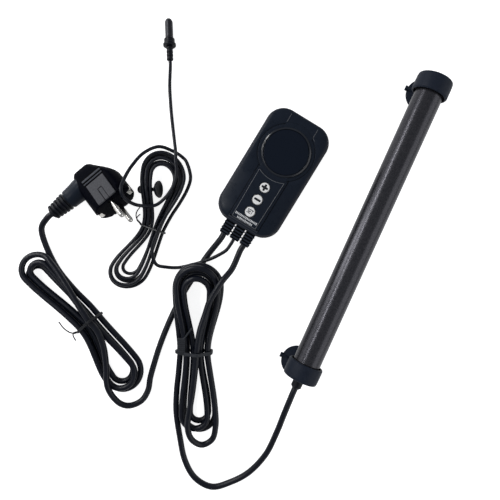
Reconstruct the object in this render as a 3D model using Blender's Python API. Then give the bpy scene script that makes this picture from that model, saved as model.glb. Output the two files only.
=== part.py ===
"""Submersible tube heater with an outside thermostat, as the separate pieces it comes apart into.

+Y runs along the heater tube to its closed end, +Z is up from the surface that everything lies on.
Every length is written in millimetres times mm, and the model is in metres.
"""
import math

import bmesh
import bpy
import numpy as np
from mathutils import Matrix, Vector

mm = 0.001
GAP = 0.3 * mm                      # between pieces that touch
CIRCLE = 24                         # sides of a large round piece
SMALL_CIRCLE = 14                   # sides of a small round piece

# Heater tube and what is inside it
HEATER_X = 58.0 * mm
HEATER_Y = -2.4 * mm               # the middle between the heater's ends
HEATER_Z = 25.0 * mm
HEATER_END = 150.6 * mm             # each end of the heater from the middle
TUBE_RADIUS = 12.5 * mm
TUBE_WALL = 1.0 * mm
TUBE_NOSE = 4.0 * mm                # rounding of the closed end
STOPPER_LENGTH = 16.0 * mm
STOPPER_FLANGE = 2.2 * mm
BOSS_RADIUS = 4.8 * mm
BOSS_LENGTH = 9.0 * mm
BOSS_CHAMFER = 1.6 * mm
RING_GROOVE = 1.4 * mm              # depth and half width of the seal's groove
CORE_RADIUS = 7.0 * mm
CORE_LENGTH = 190.0 * mm
COIL_WIRE = 0.8 * mm
COIL_TURNS = 9
SPACER_LENGTH = 5.0 * mm
CUTOUT_RADIUS = 4.0 * mm
CUTOUT_LENGTH = 18.0 * mm

# Rubber sleeves on the tube's ends
SLEEVE_RADIUS = 16.0 * mm
SLEEVE_LENGTH = 15.8 * mm
SLEEVE_FIT = 0.4 * mm               # sleeve's bore over the tube, so that it turns
SLEEVE_MOUTH = 1.4 * mm             # wider mouth of the sleeve
MOUTH_DEPTH = 4.0 * mm
SLEEVE_END = 2.8 * mm
SLEEVE_ROUND = 1.6 * mm
SOCKET_FROM_MOUTH = 6.6 * mm
SOCKET_CENTRE = 18.2 * mm           # socket's middle from the tube's axis
SOCKET_RADIUS = 4.2 * mm
SOCKET_LIP = 20.6 * mm              # boss's face from the tube's axis
SOCKET_BOSS = 6.2 * mm
TOP_TURN = math.radians(4.0)
BOTTOM_TURN = math.radians(15.0)

# Suction cups under the sleeves
CUP_RADIUS = 14.6 * mm
CUP_HEIGHT = 3.4 * mm
CUP_HOLLOW = 1.8 * mm
CUP_SEAT = 12.0 * mm                # inner edge of the flat ring that meets the glass
CUP_NECK = 2.2 * mm
CUP_BALL = 3.6 * mm
CUP_BALL_Z = 7.1 * mm
TAB_REACH = 18.0 * mm
TAB_WIDTH = 2.0 * mm
TAB_HEAD = 5.6 * mm
TAB_TOP = 3.0 * mm

# Thermostat housing
BOX_X = -38.5 * mm
BOX_Y = 15.5 * mm
BOX_TURN = math.radians(-7.2)
BOX_WIDTH = 62.0 * mm
BOX_LENGTH = 114.0 * mm
BOX_CORNER = 17.0 * mm
BOX_WALL = 2.2 * mm
BOX_STEPS = 5                       # facets round a corner
FLOOR_WALL = 2.0 * mm
SEAM_Z = 8.0 * mm
SEAL_HEIGHT = 0.9 * mm
SHOULDER_Z = 11.6 * mm              # where the wall starts to lean in
LEAN_Z = 16.4 * mm                  # where it turns into the deck's edge
LEAN_INSET = 1.5 * mm
DECK_Z = 18.2 * mm
EDGE_INSET = 3.4 * mm
STRIP_Z = 19.0 * mm
STRIP_HALF = 15.2 * mm
UPPER_STRIP_HALF = 13.8 * mm
STRIP_END = 0.9 * mm                # lower edge of the strip's sloped end from the housing's end
STRIP_SLOPE = 2.9 * mm              # length of that slope

# Display
LENS_Y = 0.184 * BOX_LENGTH
LENS_RADIUS = 20.4 * mm
LENS_THICK = 1.6 * mm
LENS_TOP = 19.6 * mm
BEZEL_RADIUS = 22.5 * mm
BEZEL_TOP = 20.0 * mm
GROOVE_RADIUS = 26.0 * mm
GROOVE_WIDTH = 0.9 * mm
GROOVE_DEPTH = 0.7 * mm
DISPLAY_WIDTH = 24.0 * mm
DISPLAY_DEPTH = 15.0 * mm
DISPLAY_HEIGHT = 7.0 * mm

# Keys
KEY_FIRST_Y = -0.14 * BOX_LENGTH
KEY_PITCH = 12.7 * mm
KEY_RADIUS = 4.9 * mm
KEY_TOP = 20.0 * mm
KEY_FLANGE = 1.1 * mm
KEY_FLANGE_THICK = 0.8 * mm
KEY_TRAVEL = 0.6 * mm
KEY_CLEARANCE = 0.3 * mm
STEM_RADIUS = 1.4 * mm
OVERLAY_HALF = 13.2 * mm
OVERLAY_THICK = 0.4 * mm
OVERLAY_END_Y = -BOX_LENGTH / 2 + STRIP_END + STRIP_SLOPE + 0.4 * mm
SWITCH_SIZE = 6.0 * mm
SWITCH_HEIGHT = 3.6 * mm
SWITCH_BORE_DEPTH = 2.2 * mm

# Board, screws and what stands on the board
BOARD_Z = 4.0 * mm
BOARD_THICK = 1.6 * mm
BOARD_WIDTH = BOX_WIDTH - 9.0 * mm
BOARD_LENGTH = BOX_LENGTH - 13.0 * mm
BOARD_Y = 1.0 * mm
BOARD_CORNER = BOX_CORNER - 3.5 * mm
SCREW_X = BOX_WIDTH / 2 - 11.0 * mm
SCREW_Y = BOX_LENGTH / 2 - 13.0 * mm
MODULE_Y = -0.202 * BOX_LENGTH      # middle of the relay and of the power module
FUSE_Y = 0.105 * BOX_LENGTH
CAPACITOR_Y = 0.175 * BOX_LENGTH
POST_RADIUS = 3.2 * mm
PILLAR_RADIUS = 4.8 * mm
SCREW_RADIUS = 1.2 * mm
SCREW_LENGTH = 11.0 * mm
SCREW_HEAD = 2.6 * mm
SCREW_HEAD_THICK = 1.5 * mm

# Strain reliefs side by side in the housing's lower end
RELIEF_PITCH = 10.6 * mm
RELIEF_HEIGHT = 9.2 * mm
RELIEF_LENGTH = 13.6 * mm
RELIEF_MIDDLE_Z = 9.8 * mm
RELIEF_RIBS = 4
RELIEF_GROOVE = 1.0 * mm
RELIEF_GROOVE_WIDTH = 1.3 * mm
RELIEF_FLANGE = 1.5 * mm
RELIEF_FLANGE_RISE = 1.4 * mm
RELIEF_END_Y = -BOX_LENGTH / 2 - RELIEF_LENGTH

# Cords
MAINS_CORD = 5.6 * mm
HEATER_CORD = 5.6 * mm
SENSOR_CORD = 2.8 * mm
CORD_GAP = 0.8 * mm                # between neighbouring turns of a hank
LOOP_POINTS = 24
CORD_SPREAD = 0.3                   # how fast the cords part on either side of a tie
CROSSING_ACROSS = 2.2               # where the heater's lead crosses its hank's waist, in millimetres
CROSSING_LEVEL = 2.1

# Plug, which lies on its side
PLUG_X = -157.0 * mm
PLUG_Y = -68.4 * mm
PLUG_HEADING = math.radians(-26.0)  # where the pins point, from +X
PLUG_RADIUS = 19.7 * mm
PLUG_RIM = 6.5 * mm
PLUG_DEPTH = 41.4 * mm
PLUG_FLAT = 13.6 * mm               # half thickness at the grips
GRIP_HALF = 9.8 * mm                # raised pad on each grip side, higher towards the face
GRIP_BACK = 24.0 * mm
GRIP_FRONT = 1.2 * mm
GRIP_LOW = 13.9 * mm
GRIP_HIGH = 17.3 * mm
PLUG_BACK = 36.0 * mm               # where the back starts to round off
PLUG_BACK_HALF = 12.0 * mm
PIN_RADIUS = 2.4 * mm
PIN_LENGTH = 19.0 * mm
PIN_SPACING = 19.0 * mm
SOCKET_HOLE = 2.7 * mm
SOCKET_HOLE_DEPTH = 11.0 * mm
SOCKET_HOLE_OFFSET = 9.5 * mm
NECK_BEHIND = 32.0 * mm             # neck's middle behind the plug's face
NECK_END = 32.4 * mm                # neck's end from the plug's axis
NECK_RADIUS = 8.0 * mm
BOOT_LENGTH = 19.5 * mm
BOOT_RIBS = 5
BOOT_TIP = 6.9 * mm
BOOT_GROOVE = 1.6 * mm
BOOT_END = (0, -NECK_END - GAP - BOOT_LENGTH, -NECK_BEHIND)
EARTH_NOTCH = 9.0 * mm
EARTH_NOTCH_DEPTH = 2.4 * mm
EARTH_STRIP = 6.0 * mm
EARTH_STRIP_THICK = 0.8 * mm
EARTH_STRIP_LENGTH = 14.0 * mm

# Temperature probe and its suction cup
PROBE_X = -168.0 * mm
PROBE_Y = 71.6 * mm
PROBE_HEADING = math.radians(117.0)
PROBE_RELIEF = 13.0 * mm
PROBE_RELIEF_RADIUS = 3.0 * mm
COLLAR_RADIUS = 5.9 * mm
COLLAR_LENGTH = 3.0 * mm
SHOULDER_RADIUS = 4.9 * mm
SHOULDER_LENGTH = 5.0 * mm
CAPSULE_RADIUS = 3.6 * mm
CAPSULE_LENGTH = 18.5 * mm
CLIP_X = -142.6 * mm
CLIP_Y = -46.4 * mm
CLIP_HEADING = math.radians(24.0)
CLIP_RISE = math.radians(14.0)
CLIP_RING = 3.8 * mm
CLIP_BORE = 2.2 * mm
CLIP_THICK = 4.4 * mm
CLIP_NECK = 1.8 * mm
CLIP_REACH = 15.5 * mm
CLIP_CUP = 8.0 * mm

FINISHES = {
    "coated_steel": ((0.045, 0.046, 0.052), 0.38, 0.6),
    "rubber": ((0.012, 0.015, 0.022), 0.72, 0.0),
    "housing": ((0.010, 0.013, 0.019), 0.45, 0.0),
    "lens": ((0.006, 0.008, 0.013), 0.08, 0.0),
    "gloss": ((0.010, 0.012, 0.018), 0.15, 0.0),
    "key": ((0.80, 0.80, 0.79), 0.40, 0.0),
    "board": ((0.02, 0.12, 0.05), 0.50, 0.0),
    "component": ((0.03, 0.03, 0.035), 0.50, 0.0),
    "relay": ((0.05, 0.14, 0.40), 0.45, 0.0),
    "metal": ((0.62, 0.60, 0.56), 0.22, 1.0),
    "ceramic": ((0.78, 0.76, 0.70), 0.60, 0.0),
    "wire": ((0.42, 0.40, 0.38), 0.35, 1.0),
    "cord": ((0.008, 0.010, 0.015), 0.48, 0.0),
}


# ---------------------------------------------------------------- making solids

def clear_scene():
    for item in list(bpy.data.objects):
        bpy.data.objects.remove(item, do_unlink=True)


def finish_for(name, finish):
    """One Principled material for one piece."""
    colour, roughness, metallic = FINISHES[finish]
    material = bpy.data.materials.new(f"{name}_{finish}")
    material.use_nodes = True
    shader = material.node_tree.nodes["Principled BSDF"]
    shader.inputs["Base Color"].default_value = (*colour, 1.0)
    shader.inputs["Roughness"].default_value = roughness
    shader.inputs["Metallic"].default_value = metallic
    return material


def empty(name, place, turn=(0.0, 0.0, 0.0), parent=None):
    """A frame that a group of pieces is placed in."""
    holder = bpy.data.objects.new(name, None)
    bpy.context.collection.objects.link(holder)
    holder.location = place
    holder.rotation_euler = turn
    holder.parent = parent
    return holder


def solid(name, form, finish, parent=None, place=(0, 0, 0), turn=(0, 0, 0), smooth=35.0):
    """Turn a bmesh into a named object with outward faces."""
    bmesh.ops.remove_doubles(form, verts=form.verts, dist=1e-7)
    bmesh.ops.recalc_face_normals(form, faces=form.faces)
    mesh = bpy.data.meshes.new(name)
    form.to_mesh(mesh)
    form.free()
    mesh.shade_smooth()
    mesh.set_sharp_from_angle(angle=math.radians(smooth))
    item = bpy.data.objects.new(name, mesh)
    bpy.context.collection.objects.link(item)
    item.location = place
    item.rotation_euler = turn
    item.parent = parent
    if finish:
        mesh.materials.append(finish_for(name, finish))
    return item


def guide(name, form, parent=None, place=(0, 0, 0), turn=(0, 0, 0)):
    """A cutter or an added form, which isn't a piece itself."""
    item = solid(name, form, None, parent, place, turn)
    item.hide_render = True
    item.display_type = "WIRE"
    return item


def combine(item, other, operation="DIFFERENCE"):
    change = item.modifiers.new(other.name, "BOOLEAN")
    change.operation = operation
    change.object = other


def revolve(profile, steps=CIRCLE):
    """Spin a closed outline of (radius, height) pairs about the Z axis."""
    form = bmesh.new()
    verts = [form.verts.new((max(radius, 0.0), 0.0, height)) for radius, height in profile]
    edges = [form.edges.new((verts[i], verts[(i + 1) % len(verts)])) for i in range(len(verts))]
    on_axis = [e for e in edges if max(e.verts[0].co.x, e.verts[1].co.x) < 1e-9]
    for edge in on_axis:
        form.edges.remove(edge)
        edges.remove(edge)
    bmesh.ops.spin(form, geom=verts + edges, axis=(0, 0, 1), cent=(0, 0, 0),
                   angle=math.tau, steps=steps, use_merge=True)
    bmesh.ops.remove_doubles(form, verts=form.verts, dist=1e-7)
    return form


def loft(rings, closed=False):
    """Join rings of equal count with quads; the first and last are capped unless closed."""
    form = bmesh.new()
    rows = [[form.verts.new(point) for point in ring] for ring in rings]
    count = len(rows[0])
    pairs = list(zip(rows, rows[1:]))
    if closed:
        pairs.append((rows[-1], rows[0]))
    for low, high in pairs:
        for i in range(count):
            j = (i + 1) % count
            form.faces.new((low[i], low[j], high[j], high[i]))
    if not closed:
        form.faces.new(rows[0])
        form.faces.new(rows[-1])
    return form


def rounded(width, length, corner, steps=BOX_STEPS, middle=(0.0, 0.0)):
    """Outline of a rectangle with round corners, as (x, y) pairs."""
    points = []
    corners = ((1, 1, 0.0), (-1, 1, 90.0), (-1, -1, 180.0), (1, -1, 270.0))
    for sx, sy, start in corners:
        cx = middle[0] + sx * (width / 2 - corner)
        cy = middle[1] + sy * (length / 2 - corner)
        for k in range(steps + 1):
            angle = math.radians(start + 90.0 * k / steps)
            points.append((cx + corner * math.cos(angle), cy + corner * math.sin(angle)))
    return points


def ring_at(outline, z):
    return [(x, y, z) for x, y in outline]


def plate(outline, low, high):
    return loft([ring_at(outline, low), ring_at(outline, high)])


def block(width, length, low, high, middle=(0.0, 0.0)):
    x, y = middle
    corners = ((-1, -1), (1, -1), (1, 1), (-1, 1))
    return plate([(x + sx * width / 2, y + sy * length / 2) for sx, sy in corners], low, high)


def rod(radius, low, high, steps=SMALL_CIRCLE):
    return revolve([(0, low), (radius, low), (radius, high), (0, high)], steps)


def ball(radius, steps=SMALL_CIRCLE):
    half = steps // 2
    angles = [math.pi * k / half - math.pi / 2 for k in range(half + 1)]
    return revolve([(radius * math.cos(a), radius * math.sin(a)) for a in angles], steps)


# ---------------------------------------------------------------- heater tube

def heater_frame():
    """Its Z axis lies along the tube, towards the closed end."""
    return empty("heater_axis", (HEATER_X, HEATER_Y, HEATER_Z), (math.radians(-90), 0, 0))


TUBE_TOP = HEATER_END - SLEEVE_END - GAP
TUBE_MOUTH = -HEATER_END + BOSS_LENGTH + SLEEVE_END + STOPPER_FLANGE + 2 * GAP
TUBE_BORE = TUBE_RADIUS - TUBE_WALL


def heater_tube(parent):
    top, nose = TUBE_TOP, TUBE_NOSE
    arc = [math.radians(a) for a in (0, 30, 60, 90)]
    outer = [(TUBE_RADIUS - nose + nose * math.cos(a), top - nose + nose * math.sin(a)) for a in arc]
    bore = nose - TUBE_WALL
    inner = [(TUBE_RADIUS - nose + bore * math.cos(a), top - nose + bore * math.sin(a)) for a in arc]
    profile = [(TUBE_BORE, TUBE_MOUTH), (TUBE_RADIUS, TUBE_MOUTH)] + outer
    profile += [(0, top), (0, top - TUBE_WALL)] + inner[::-1]
    return solid("heater_tube", revolve(profile), "coated_steel", parent)


def tube_stopper(parent):
    """Plug in the tube's open end, with its flange and the cable's boss."""
    plug = TUBE_BORE - GAP
    flange_low = TUBE_MOUTH - GAP - STOPPER_FLANGE
    inner_end = TUBE_MOUTH + STOPPER_LENGTH
    middle = TUBE_MOUTH + STOPPER_LENGTH / 2
    tip = -HEATER_END
    profile = [(0, tip), (BOSS_RADIUS - BOSS_CHAMFER, tip), (BOSS_RADIUS, tip + BOSS_CHAMFER),
               (BOSS_RADIUS, flange_low), (TUBE_RADIUS, flange_low),
               (TUBE_RADIUS, flange_low + STOPPER_FLANGE), (plug, flange_low + STOPPER_FLANGE),
               (plug, middle - RING_GROOVE), (plug - RING_GROOVE, middle - RING_GROOVE),
               (plug - RING_GROOVE, middle + RING_GROOVE), (plug, middle + RING_GROOVE),
               (plug, inner_end), (0, inner_end)]
    solid("tube_stopper", revolve(profile), "rubber", parent)
    # the groove is as deep as it is half wide, and the seal reaches out to the plug's own radius
    tall = RING_GROOVE - GAP
    thick = tall / 2
    centre = plug - RING_GROOVE + GAP + thick
    angles = [math.tau * k / 5 for k in range(5)]
    seal = [(centre + thick * math.cos(a), middle + tall * math.sin(a)) for a in angles]
    solid("stopper_seal", revolve(seal), "rubber", parent)
    return inner_end


def heating_core(parent, start):
    """Ceramic former on two spacers with its winding, cut-out and leads."""
    reach = TUBE_BORE - GAP
    cutout_low = start + GAP
    cutout_high = cutout_low + CUTOUT_LENGTH
    low = cutout_high + GAP
    core_low = low + SPACER_LENGTH + GAP
    core_high = core_low + CORE_LENGTH
    solid("thermal_cutout", rod(CUTOUT_RADIUS, cutout_low, cutout_high), "metal", parent)
    for name, z in (("lower_spacer", low), ("upper_spacer", core_high + GAP)):
        disc = solid(name, rod(reach, z, z + SPACER_LENGTH, CIRCLE), "ceramic", parent)
        notch = guide(f"{name}_notch", block(3 * mm, 3 * mm, z - mm, z + SPACER_LENGTH + mm,
                                             (reach - mm, 0)), parent)
        combine(disc, notch)
    solid("core_former", rod(CORE_RADIUS, core_low, core_high), "ceramic", parent)
    heating_coil(parent, core_low + 8 * mm, core_high - 8 * mm)


def heating_coil(parent, low, high):
    """Winding round the former, a few facets to the turn."""
    per_turn = 8
    reach = (CORE_RADIUS + GAP + COIL_WIRE) / math.cos(math.pi / per_turn)
    count = COIL_TURNS * per_turn + 1
    turns = np.arange(count) / per_turn
    heights = low + (high - low) * turns / COIL_TURNS
    points = np.stack([reach * np.cos(math.tau * turns), reach * np.sin(math.tau * turns), heights], 1)
    tube("heating_coil", points, COIL_WIRE, "wire", 0, parent)


def end_sleeve(name, parent, mouth_z, pointing, turn, hole):
    """Rubber cap that turns on the tube, with a ball socket for its suction cup.

    pointing is +1 where the closed end is at the tube's closed end, and -1 at the cable's end.
    """
    bore = TUBE_RADIUS + SLEEVE_FIT
    length, edge = SLEEVE_LENGTH, SLEEVE_ROUND
    mouth = TUBE_RADIUS + SLEEVE_MOUTH
    inner = hole if hole else 0.0
    profile = [(mouth, 0), (SLEEVE_RADIUS - 0.5 * mm, 0), (SLEEVE_RADIUS, 0.5 * mm),
               (SLEEVE_RADIUS, length - edge), (SLEEVE_RADIUS - 0.3 * edge, length - 0.3 * edge),
               (SLEEVE_RADIUS - edge, length), (inner, length), (inner, length - SLEEVE_END),
               (bore, length - SLEEVE_END), (bore, MOUTH_DEPTH), (mouth, MOUTH_DEPTH - mm)]
    facing = (0, 0, turn) if pointing > 0 else (math.pi, 0, turn)
    sleeve = solid(name, revolve(profile), "rubber", parent, (0, 0, mouth_z), facing)
    # the boss points down, below the tube
    tilt = (math.radians(-90 * pointing), 0, 0)
    seat = (0, 0, SOCKET_FROM_MOUTH)
    boss = guide(f"{name}_boss", rod(SOCKET_BOSS, bore + 0.8 * mm, SOCKET_LIP, 16), sleeve, seat, tilt)
    combine(sleeve, boss, "UNION")
    place = (0, SOCKET_CENTRE * pointing, SOCKET_FROM_MOUTH)
    socket = guide(f"{name}_socket", ball(SOCKET_RADIUS, 14), sleeve, place, tilt)
    combine(sleeve, socket)
    return sleeve


def suction_cup(name, x, y):
    """Cup with a ball knob and a pull tab, standing on its rim."""
    neck_low = CUP_HEIGHT + 0.2 * mm
    arc = [math.radians(a) for a in range(-45, 91, 27)]
    knob = [(CUP_BALL * math.cos(a), CUP_BALL_Z + CUP_BALL * math.sin(a)) for a in arc]
    profile = [(0, CUP_HOLLOW), (CUP_SEAT * 0.7, CUP_HOLLOW * 0.8), (CUP_SEAT, 0),
               (CUP_RADIUS - 0.4 * mm, 0), (CUP_RADIUS, 0.3 * mm), (CUP_RADIUS, 0.8 * mm),
               (CUP_RADIUS * 0.8, 1.8 * mm), (CUP_RADIUS * 0.45, 2.9 * mm), (CUP_NECK * 1.3, CUP_HEIGHT),
               (CUP_NECK, neck_low)] + knob
    profile[-1] = (0, CUP_BALL_Z + CUP_BALL)
    cup = solid(name, revolve(profile, 22), "rubber", None, (x, y, 0))
    start = CUP_RADIUS * 0.6
    bar = block(TAB_REACH - start, TAB_WIDTH, 0.9 * mm, TAB_TOP, (-(TAB_REACH + start) / 2, 0))
    combine(cup, guide(f"{name}_tab", bar, cup), "UNION")
    head = block(1.8 * mm, TAB_HEAD, 0.7 * mm, TAB_TOP + 0.3 * mm, (-TAB_REACH, 0))
    combine(cup, guide(f"{name}_tab_head", head, cup), "UNION")
    return cup


def heater():
    axis = heater_frame()
    heater_tube(axis)
    inner_end = tube_stopper(axis)
    heating_core(axis, inner_end)
    top_mouth = HEATER_END - SLEEVE_LENGTH
    bottom_mouth = -HEATER_END + BOSS_LENGTH + SLEEVE_LENGTH
    end_sleeve("top_sleeve", axis, top_mouth, 1, TOP_TURN, 0)
    end_sleeve("bottom_sleeve", axis, bottom_mouth, -1, BOTTOM_TURN, BOSS_RADIUS + GAP)
    for name, y, turn in (("top_suction_cup", top_mouth + SOCKET_FROM_MOUTH, TOP_TURN),
                          ("bottom_suction_cup", bottom_mouth - SOCKET_FROM_MOUTH, BOTTOM_TURN)):
        suction_cup(name, HEATER_X - SOCKET_CENTRE * math.sin(turn), HEATER_Y + y)


# ---------------------------------------------------------------- thermostat housing

def box_outline(inset=0.0, steps=BOX_STEPS):
    return rounded(BOX_WIDTH - 2 * inset, BOX_LENGTH - 2 * inset, BOX_CORNER - inset, steps)


def round_hole(name, radius, low, high, parent, x=0.0, y=0.0, steps=SMALL_CIRCLE):
    return guide(name, rod(radius, low, high, steps), parent, (x, y, 0))


def below_lens(half_width, end_y, radius, steps=7):
    """Strip from the lens's ring to end_y, hollowed where it meets the ring."""
    reach = math.asin(half_width / radius)
    points = [(-half_width, end_y), (half_width, end_y)]
    for k in range(steps + 1):
        angle = reach - 2 * reach * k / steps
        points.append((radius * math.sin(angle), LENS_Y - radius * math.cos(angle)))
    return points


def above_lens(half_width, end_y, radius, steps=7):
    return [(x, 2 * LENS_Y - y) for x, y in below_lens(half_width, 2 * LENS_Y - end_y, radius, steps)][::-1]


def relief_window(parent):
    """Cutter for the opening that the three reliefs pass through."""
    wide = 3 * RELIEF_PITCH + GAP
    tall = RELIEF_HEIGHT + 2 * GAP
    y = -BOX_LENGTH / 2
    form = block(wide, 4 * BOX_WALL, RELIEF_MIDDLE_Z - tall / 2, RELIEF_MIDDLE_Z + tall / 2, (0, y))
    return guide("relief_window", form, parent)


def front_shell(parent, window):
    low = SEAM_Z + SEAL_HEIGHT + GAP
    ceiling = DECK_Z - BOX_WALL
    wall = BOX_WALL
    rings = [ring_at(box_outline(wall + LEAN_INSET), ceiling), ring_at(box_outline(wall), SHOULDER_Z),
             ring_at(box_outline(wall), low), ring_at(box_outline(0), low),
             ring_at(box_outline(0), SHOULDER_Z), ring_at(box_outline(LEAN_INSET), LEAN_Z),
             ring_at(box_outline(EDGE_INSET), DECK_Z)]
    shell = solid("front_shell", loft(rings), "housing", parent)
    deck = DECK_Z - 1.0 * mm
    strip_low, strip_high = (below_lens(STRIP_HALF, -BOX_LENGTH / 2 + end, GROOVE_RADIUS + 1.2 * mm)
                             for end in (STRIP_END, STRIP_END + STRIP_SLOPE))
    strip = loft([ring_at(strip_low, LEAN_Z), ring_at(strip_high, STRIP_Z)])
    combine(shell, guide("lower_strip", strip, parent), "UNION")
    upper = plate(above_lens(UPPER_STRIP_HALF, BOX_LENGTH / 2 - EDGE_INSET - 0.5 * mm,
                             GROOVE_RADIUS + 1.2 * mm), deck, DECK_Z + 0.4 * mm)
    combine(shell, guide("upper_strip", upper, parent), "UNION")
    for x, y in screw_places():
        post = rod(POST_RADIUS, BOARD_Z, ceiling + mm, 10)
        combine(shell, guide("screw_post", post, parent, (x, y, 0)), "UNION")
        bore = round_hole("screw_bore", SCREW_RADIUS + GAP, 0, BOARD_Z + 9 * mm, parent, x, y, 8)
        combine(shell, bore)
    lens_hole = round_hole("lens_hole", BEZEL_RADIUS + GAP, ceiling - mm, 25 * mm, parent, 0, LENS_Y, 28)
    combine(shell, lens_hole)
    half = GROOVE_WIDTH / 2
    groove_floor = DECK_Z - GROOVE_DEPTH
    groove = revolve([(GROOVE_RADIUS - half, groove_floor), (GROOVE_RADIUS + half, groove_floor),
                      (GROOVE_RADIUS + half, 22 * mm), (GROOVE_RADIUS - half, 22 * mm)], 28)
    combine(shell, guide("lens_groove", groove, parent, (0, LENS_Y, 0)))
    for y in key_places():
        hole = round_hole("key_hole", KEY_RADIUS + KEY_CLEARANCE, ceiling - mm, 25 * mm, parent, 0, y, 16)
        combine(shell, hole)
    combine(shell, window)
    return shell


def rear_shell(parent, window):
    wall = BOX_WALL
    rings = [ring_at(box_outline(wall), FLOOR_WALL), ring_at(box_outline(wall), SEAM_Z),
             ring_at(box_outline(0), SEAM_Z), ring_at(box_outline(0), 1.6 * mm),
             ring_at(box_outline(1.6 * mm), 0)]
    shell = solid("rear_shell", loft(rings), "housing", parent)
    top = BOARD_Z - GAP
    for x, y in screw_places():
        pillar = rod(PILLAR_RADIUS, FLOOR_WALL - mm, top, 12)
        combine(shell, guide("screw_pillar", pillar, parent, (x, y, 0)), "UNION")
        head_room = SCREW_HEAD_THICK + GAP
        combine(shell, round_hole("head_recess", SCREW_HEAD + GAP, -mm, head_room, parent, x, y, 12))
        combine(shell, round_hole("screw_hole", SCREW_RADIUS + GAP, 0, top + mm, parent, x, y, 8))
    combine(shell, window)
    return shell


def housing_seal(parent, window):
    low = SEAM_Z + GAP
    high = low + SEAL_HEIGHT - GAP
    outer, inner = box_outline(0.3 * mm), box_outline(BOX_WALL - 0.3 * mm)
    rings = [ring_at(outer, low), ring_at(outer, high), ring_at(inner, high), ring_at(inner, low)]
    seal = solid("housing_seal", loft(rings, closed=True), "rubber", parent)
    combine(seal, window)


def screw_places():
    return [(sx * SCREW_X, sy * SCREW_Y) for sy in (1, -1) for sx in (-1, 1)]


def key_places():
    return [KEY_FIRST_Y - k * KEY_PITCH for k in range(3)]


def screws(parent):
    for k, (x, y) in enumerate(screw_places()):
        head, top = SCREW_HEAD_THICK, SCREW_LENGTH
        profile = [(0, 0.2 * mm), (SCREW_HEAD - 0.4 * mm, 0.2 * mm), (SCREW_HEAD, 0.6 * mm),
                   (SCREW_HEAD, head), (SCREW_RADIUS, head), (SCREW_RADIUS, top - mm), (0, top)]
        solid(f"housing_screw_{k + 1}", revolve(profile, 10), "metal", parent, (x, y, 0))


def display(parent):
    lens_low = LENS_TOP - LENS_THICK
    edge = 0.5 * mm
    profile = [(0, lens_low), (LENS_RADIUS, lens_low), (LENS_RADIUS, LENS_TOP - edge),
               (LENS_RADIUS - edge, LENS_TOP), (0, LENS_TOP)]
    solid("display_lens", revolve(profile, 28), "lens", parent, (0, LENS_Y, 0))
    inner, outer = LENS_RADIUS + GAP, BEZEL_RADIUS
    low = DECK_Z - BOX_WALL
    ledge = lens_low - GAP
    ring = [(inner - 2 * mm, low), (outer, low), (outer, BEZEL_TOP - 0.6 * mm),
            (outer - 0.6 * mm, BEZEL_TOP), (inner + 0.4 * mm, BEZEL_TOP), (inner, BEZEL_TOP - 0.5 * mm),
            (inner, ledge), (inner - 2 * mm, ledge)]
    solid("lens_bezel", revolve(ring, 28), "gloss", parent, (0, LENS_Y, 0))
    board_top = BOARD_Z + BOARD_THICK + GAP
    top = lens_low - GAP
    middle = (0, LENS_Y)
    solid("display_module", block(DISPLAY_WIDTH, DISPLAY_DEPTH, top - DISPLAY_HEIGHT, top, middle),
          "gloss", parent)
    holder = block(DISPLAY_WIDTH + 2 * mm, DISPLAY_DEPTH + 2 * mm, board_top,
                   top - DISPLAY_HEIGHT - GAP, middle)
    solid("display_holder", holder, "component", parent)


def keys(parent):
    names = ("plus_button", "minus_button", "set_button")
    board_top = BOARD_Z + BOARD_THICK + GAP
    switch_top = board_top + SWITCH_HEIGHT
    ceiling = DECK_Z - BOX_WALL
    bore_floor = switch_top - SWITCH_BORE_DEPTH
    stem_end = bore_floor + GAP + KEY_TRAVEL
    for name, y in zip(names, key_places()):
        flange_top = ceiling - GAP
        flange_low = flange_top - KEY_FLANGE_THICK
        profile = [(0, stem_end), (STEM_RADIUS, stem_end), (STEM_RADIUS, flange_low),
                   (KEY_RADIUS + KEY_FLANGE, flange_low), (KEY_RADIUS + KEY_FLANGE, flange_top),
                   (KEY_RADIUS, flange_top), (KEY_RADIUS, KEY_TOP - 0.4 * mm),
                   (KEY_RADIUS - 0.4 * mm, KEY_TOP), (0, KEY_TOP)]
        solid(name, revolve(profile, 16), "key", parent, (0, y, 0))
        switch = name.replace("button", "switch")
        body = solid(switch, block(SWITCH_SIZE, SWITCH_SIZE, board_top, switch_top), "component",
                     parent, (0, y, 0))
        bore = round_hole("switch_bore", STEM_RADIUS + GAP, bore_floor, switch_top + mm, parent, 0, y, 10)
        combine(body, bore)


def keypad_overlay(parent):
    low = STRIP_Z + GAP
    sheet = plate(below_lens(OVERLAY_HALF, OVERLAY_END_Y, GROOVE_RADIUS + 1.8 * mm), low, low + OVERLAY_THICK)
    overlay = solid("keypad_overlay", sheet, "housing", parent)
    for y in key_places():
        hole = round_hole("overlay_hole", KEY_RADIUS + KEY_CLEARANCE, low - mm, 25 * mm, parent, 0, y, 16)
        combine(overlay, hole)


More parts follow.
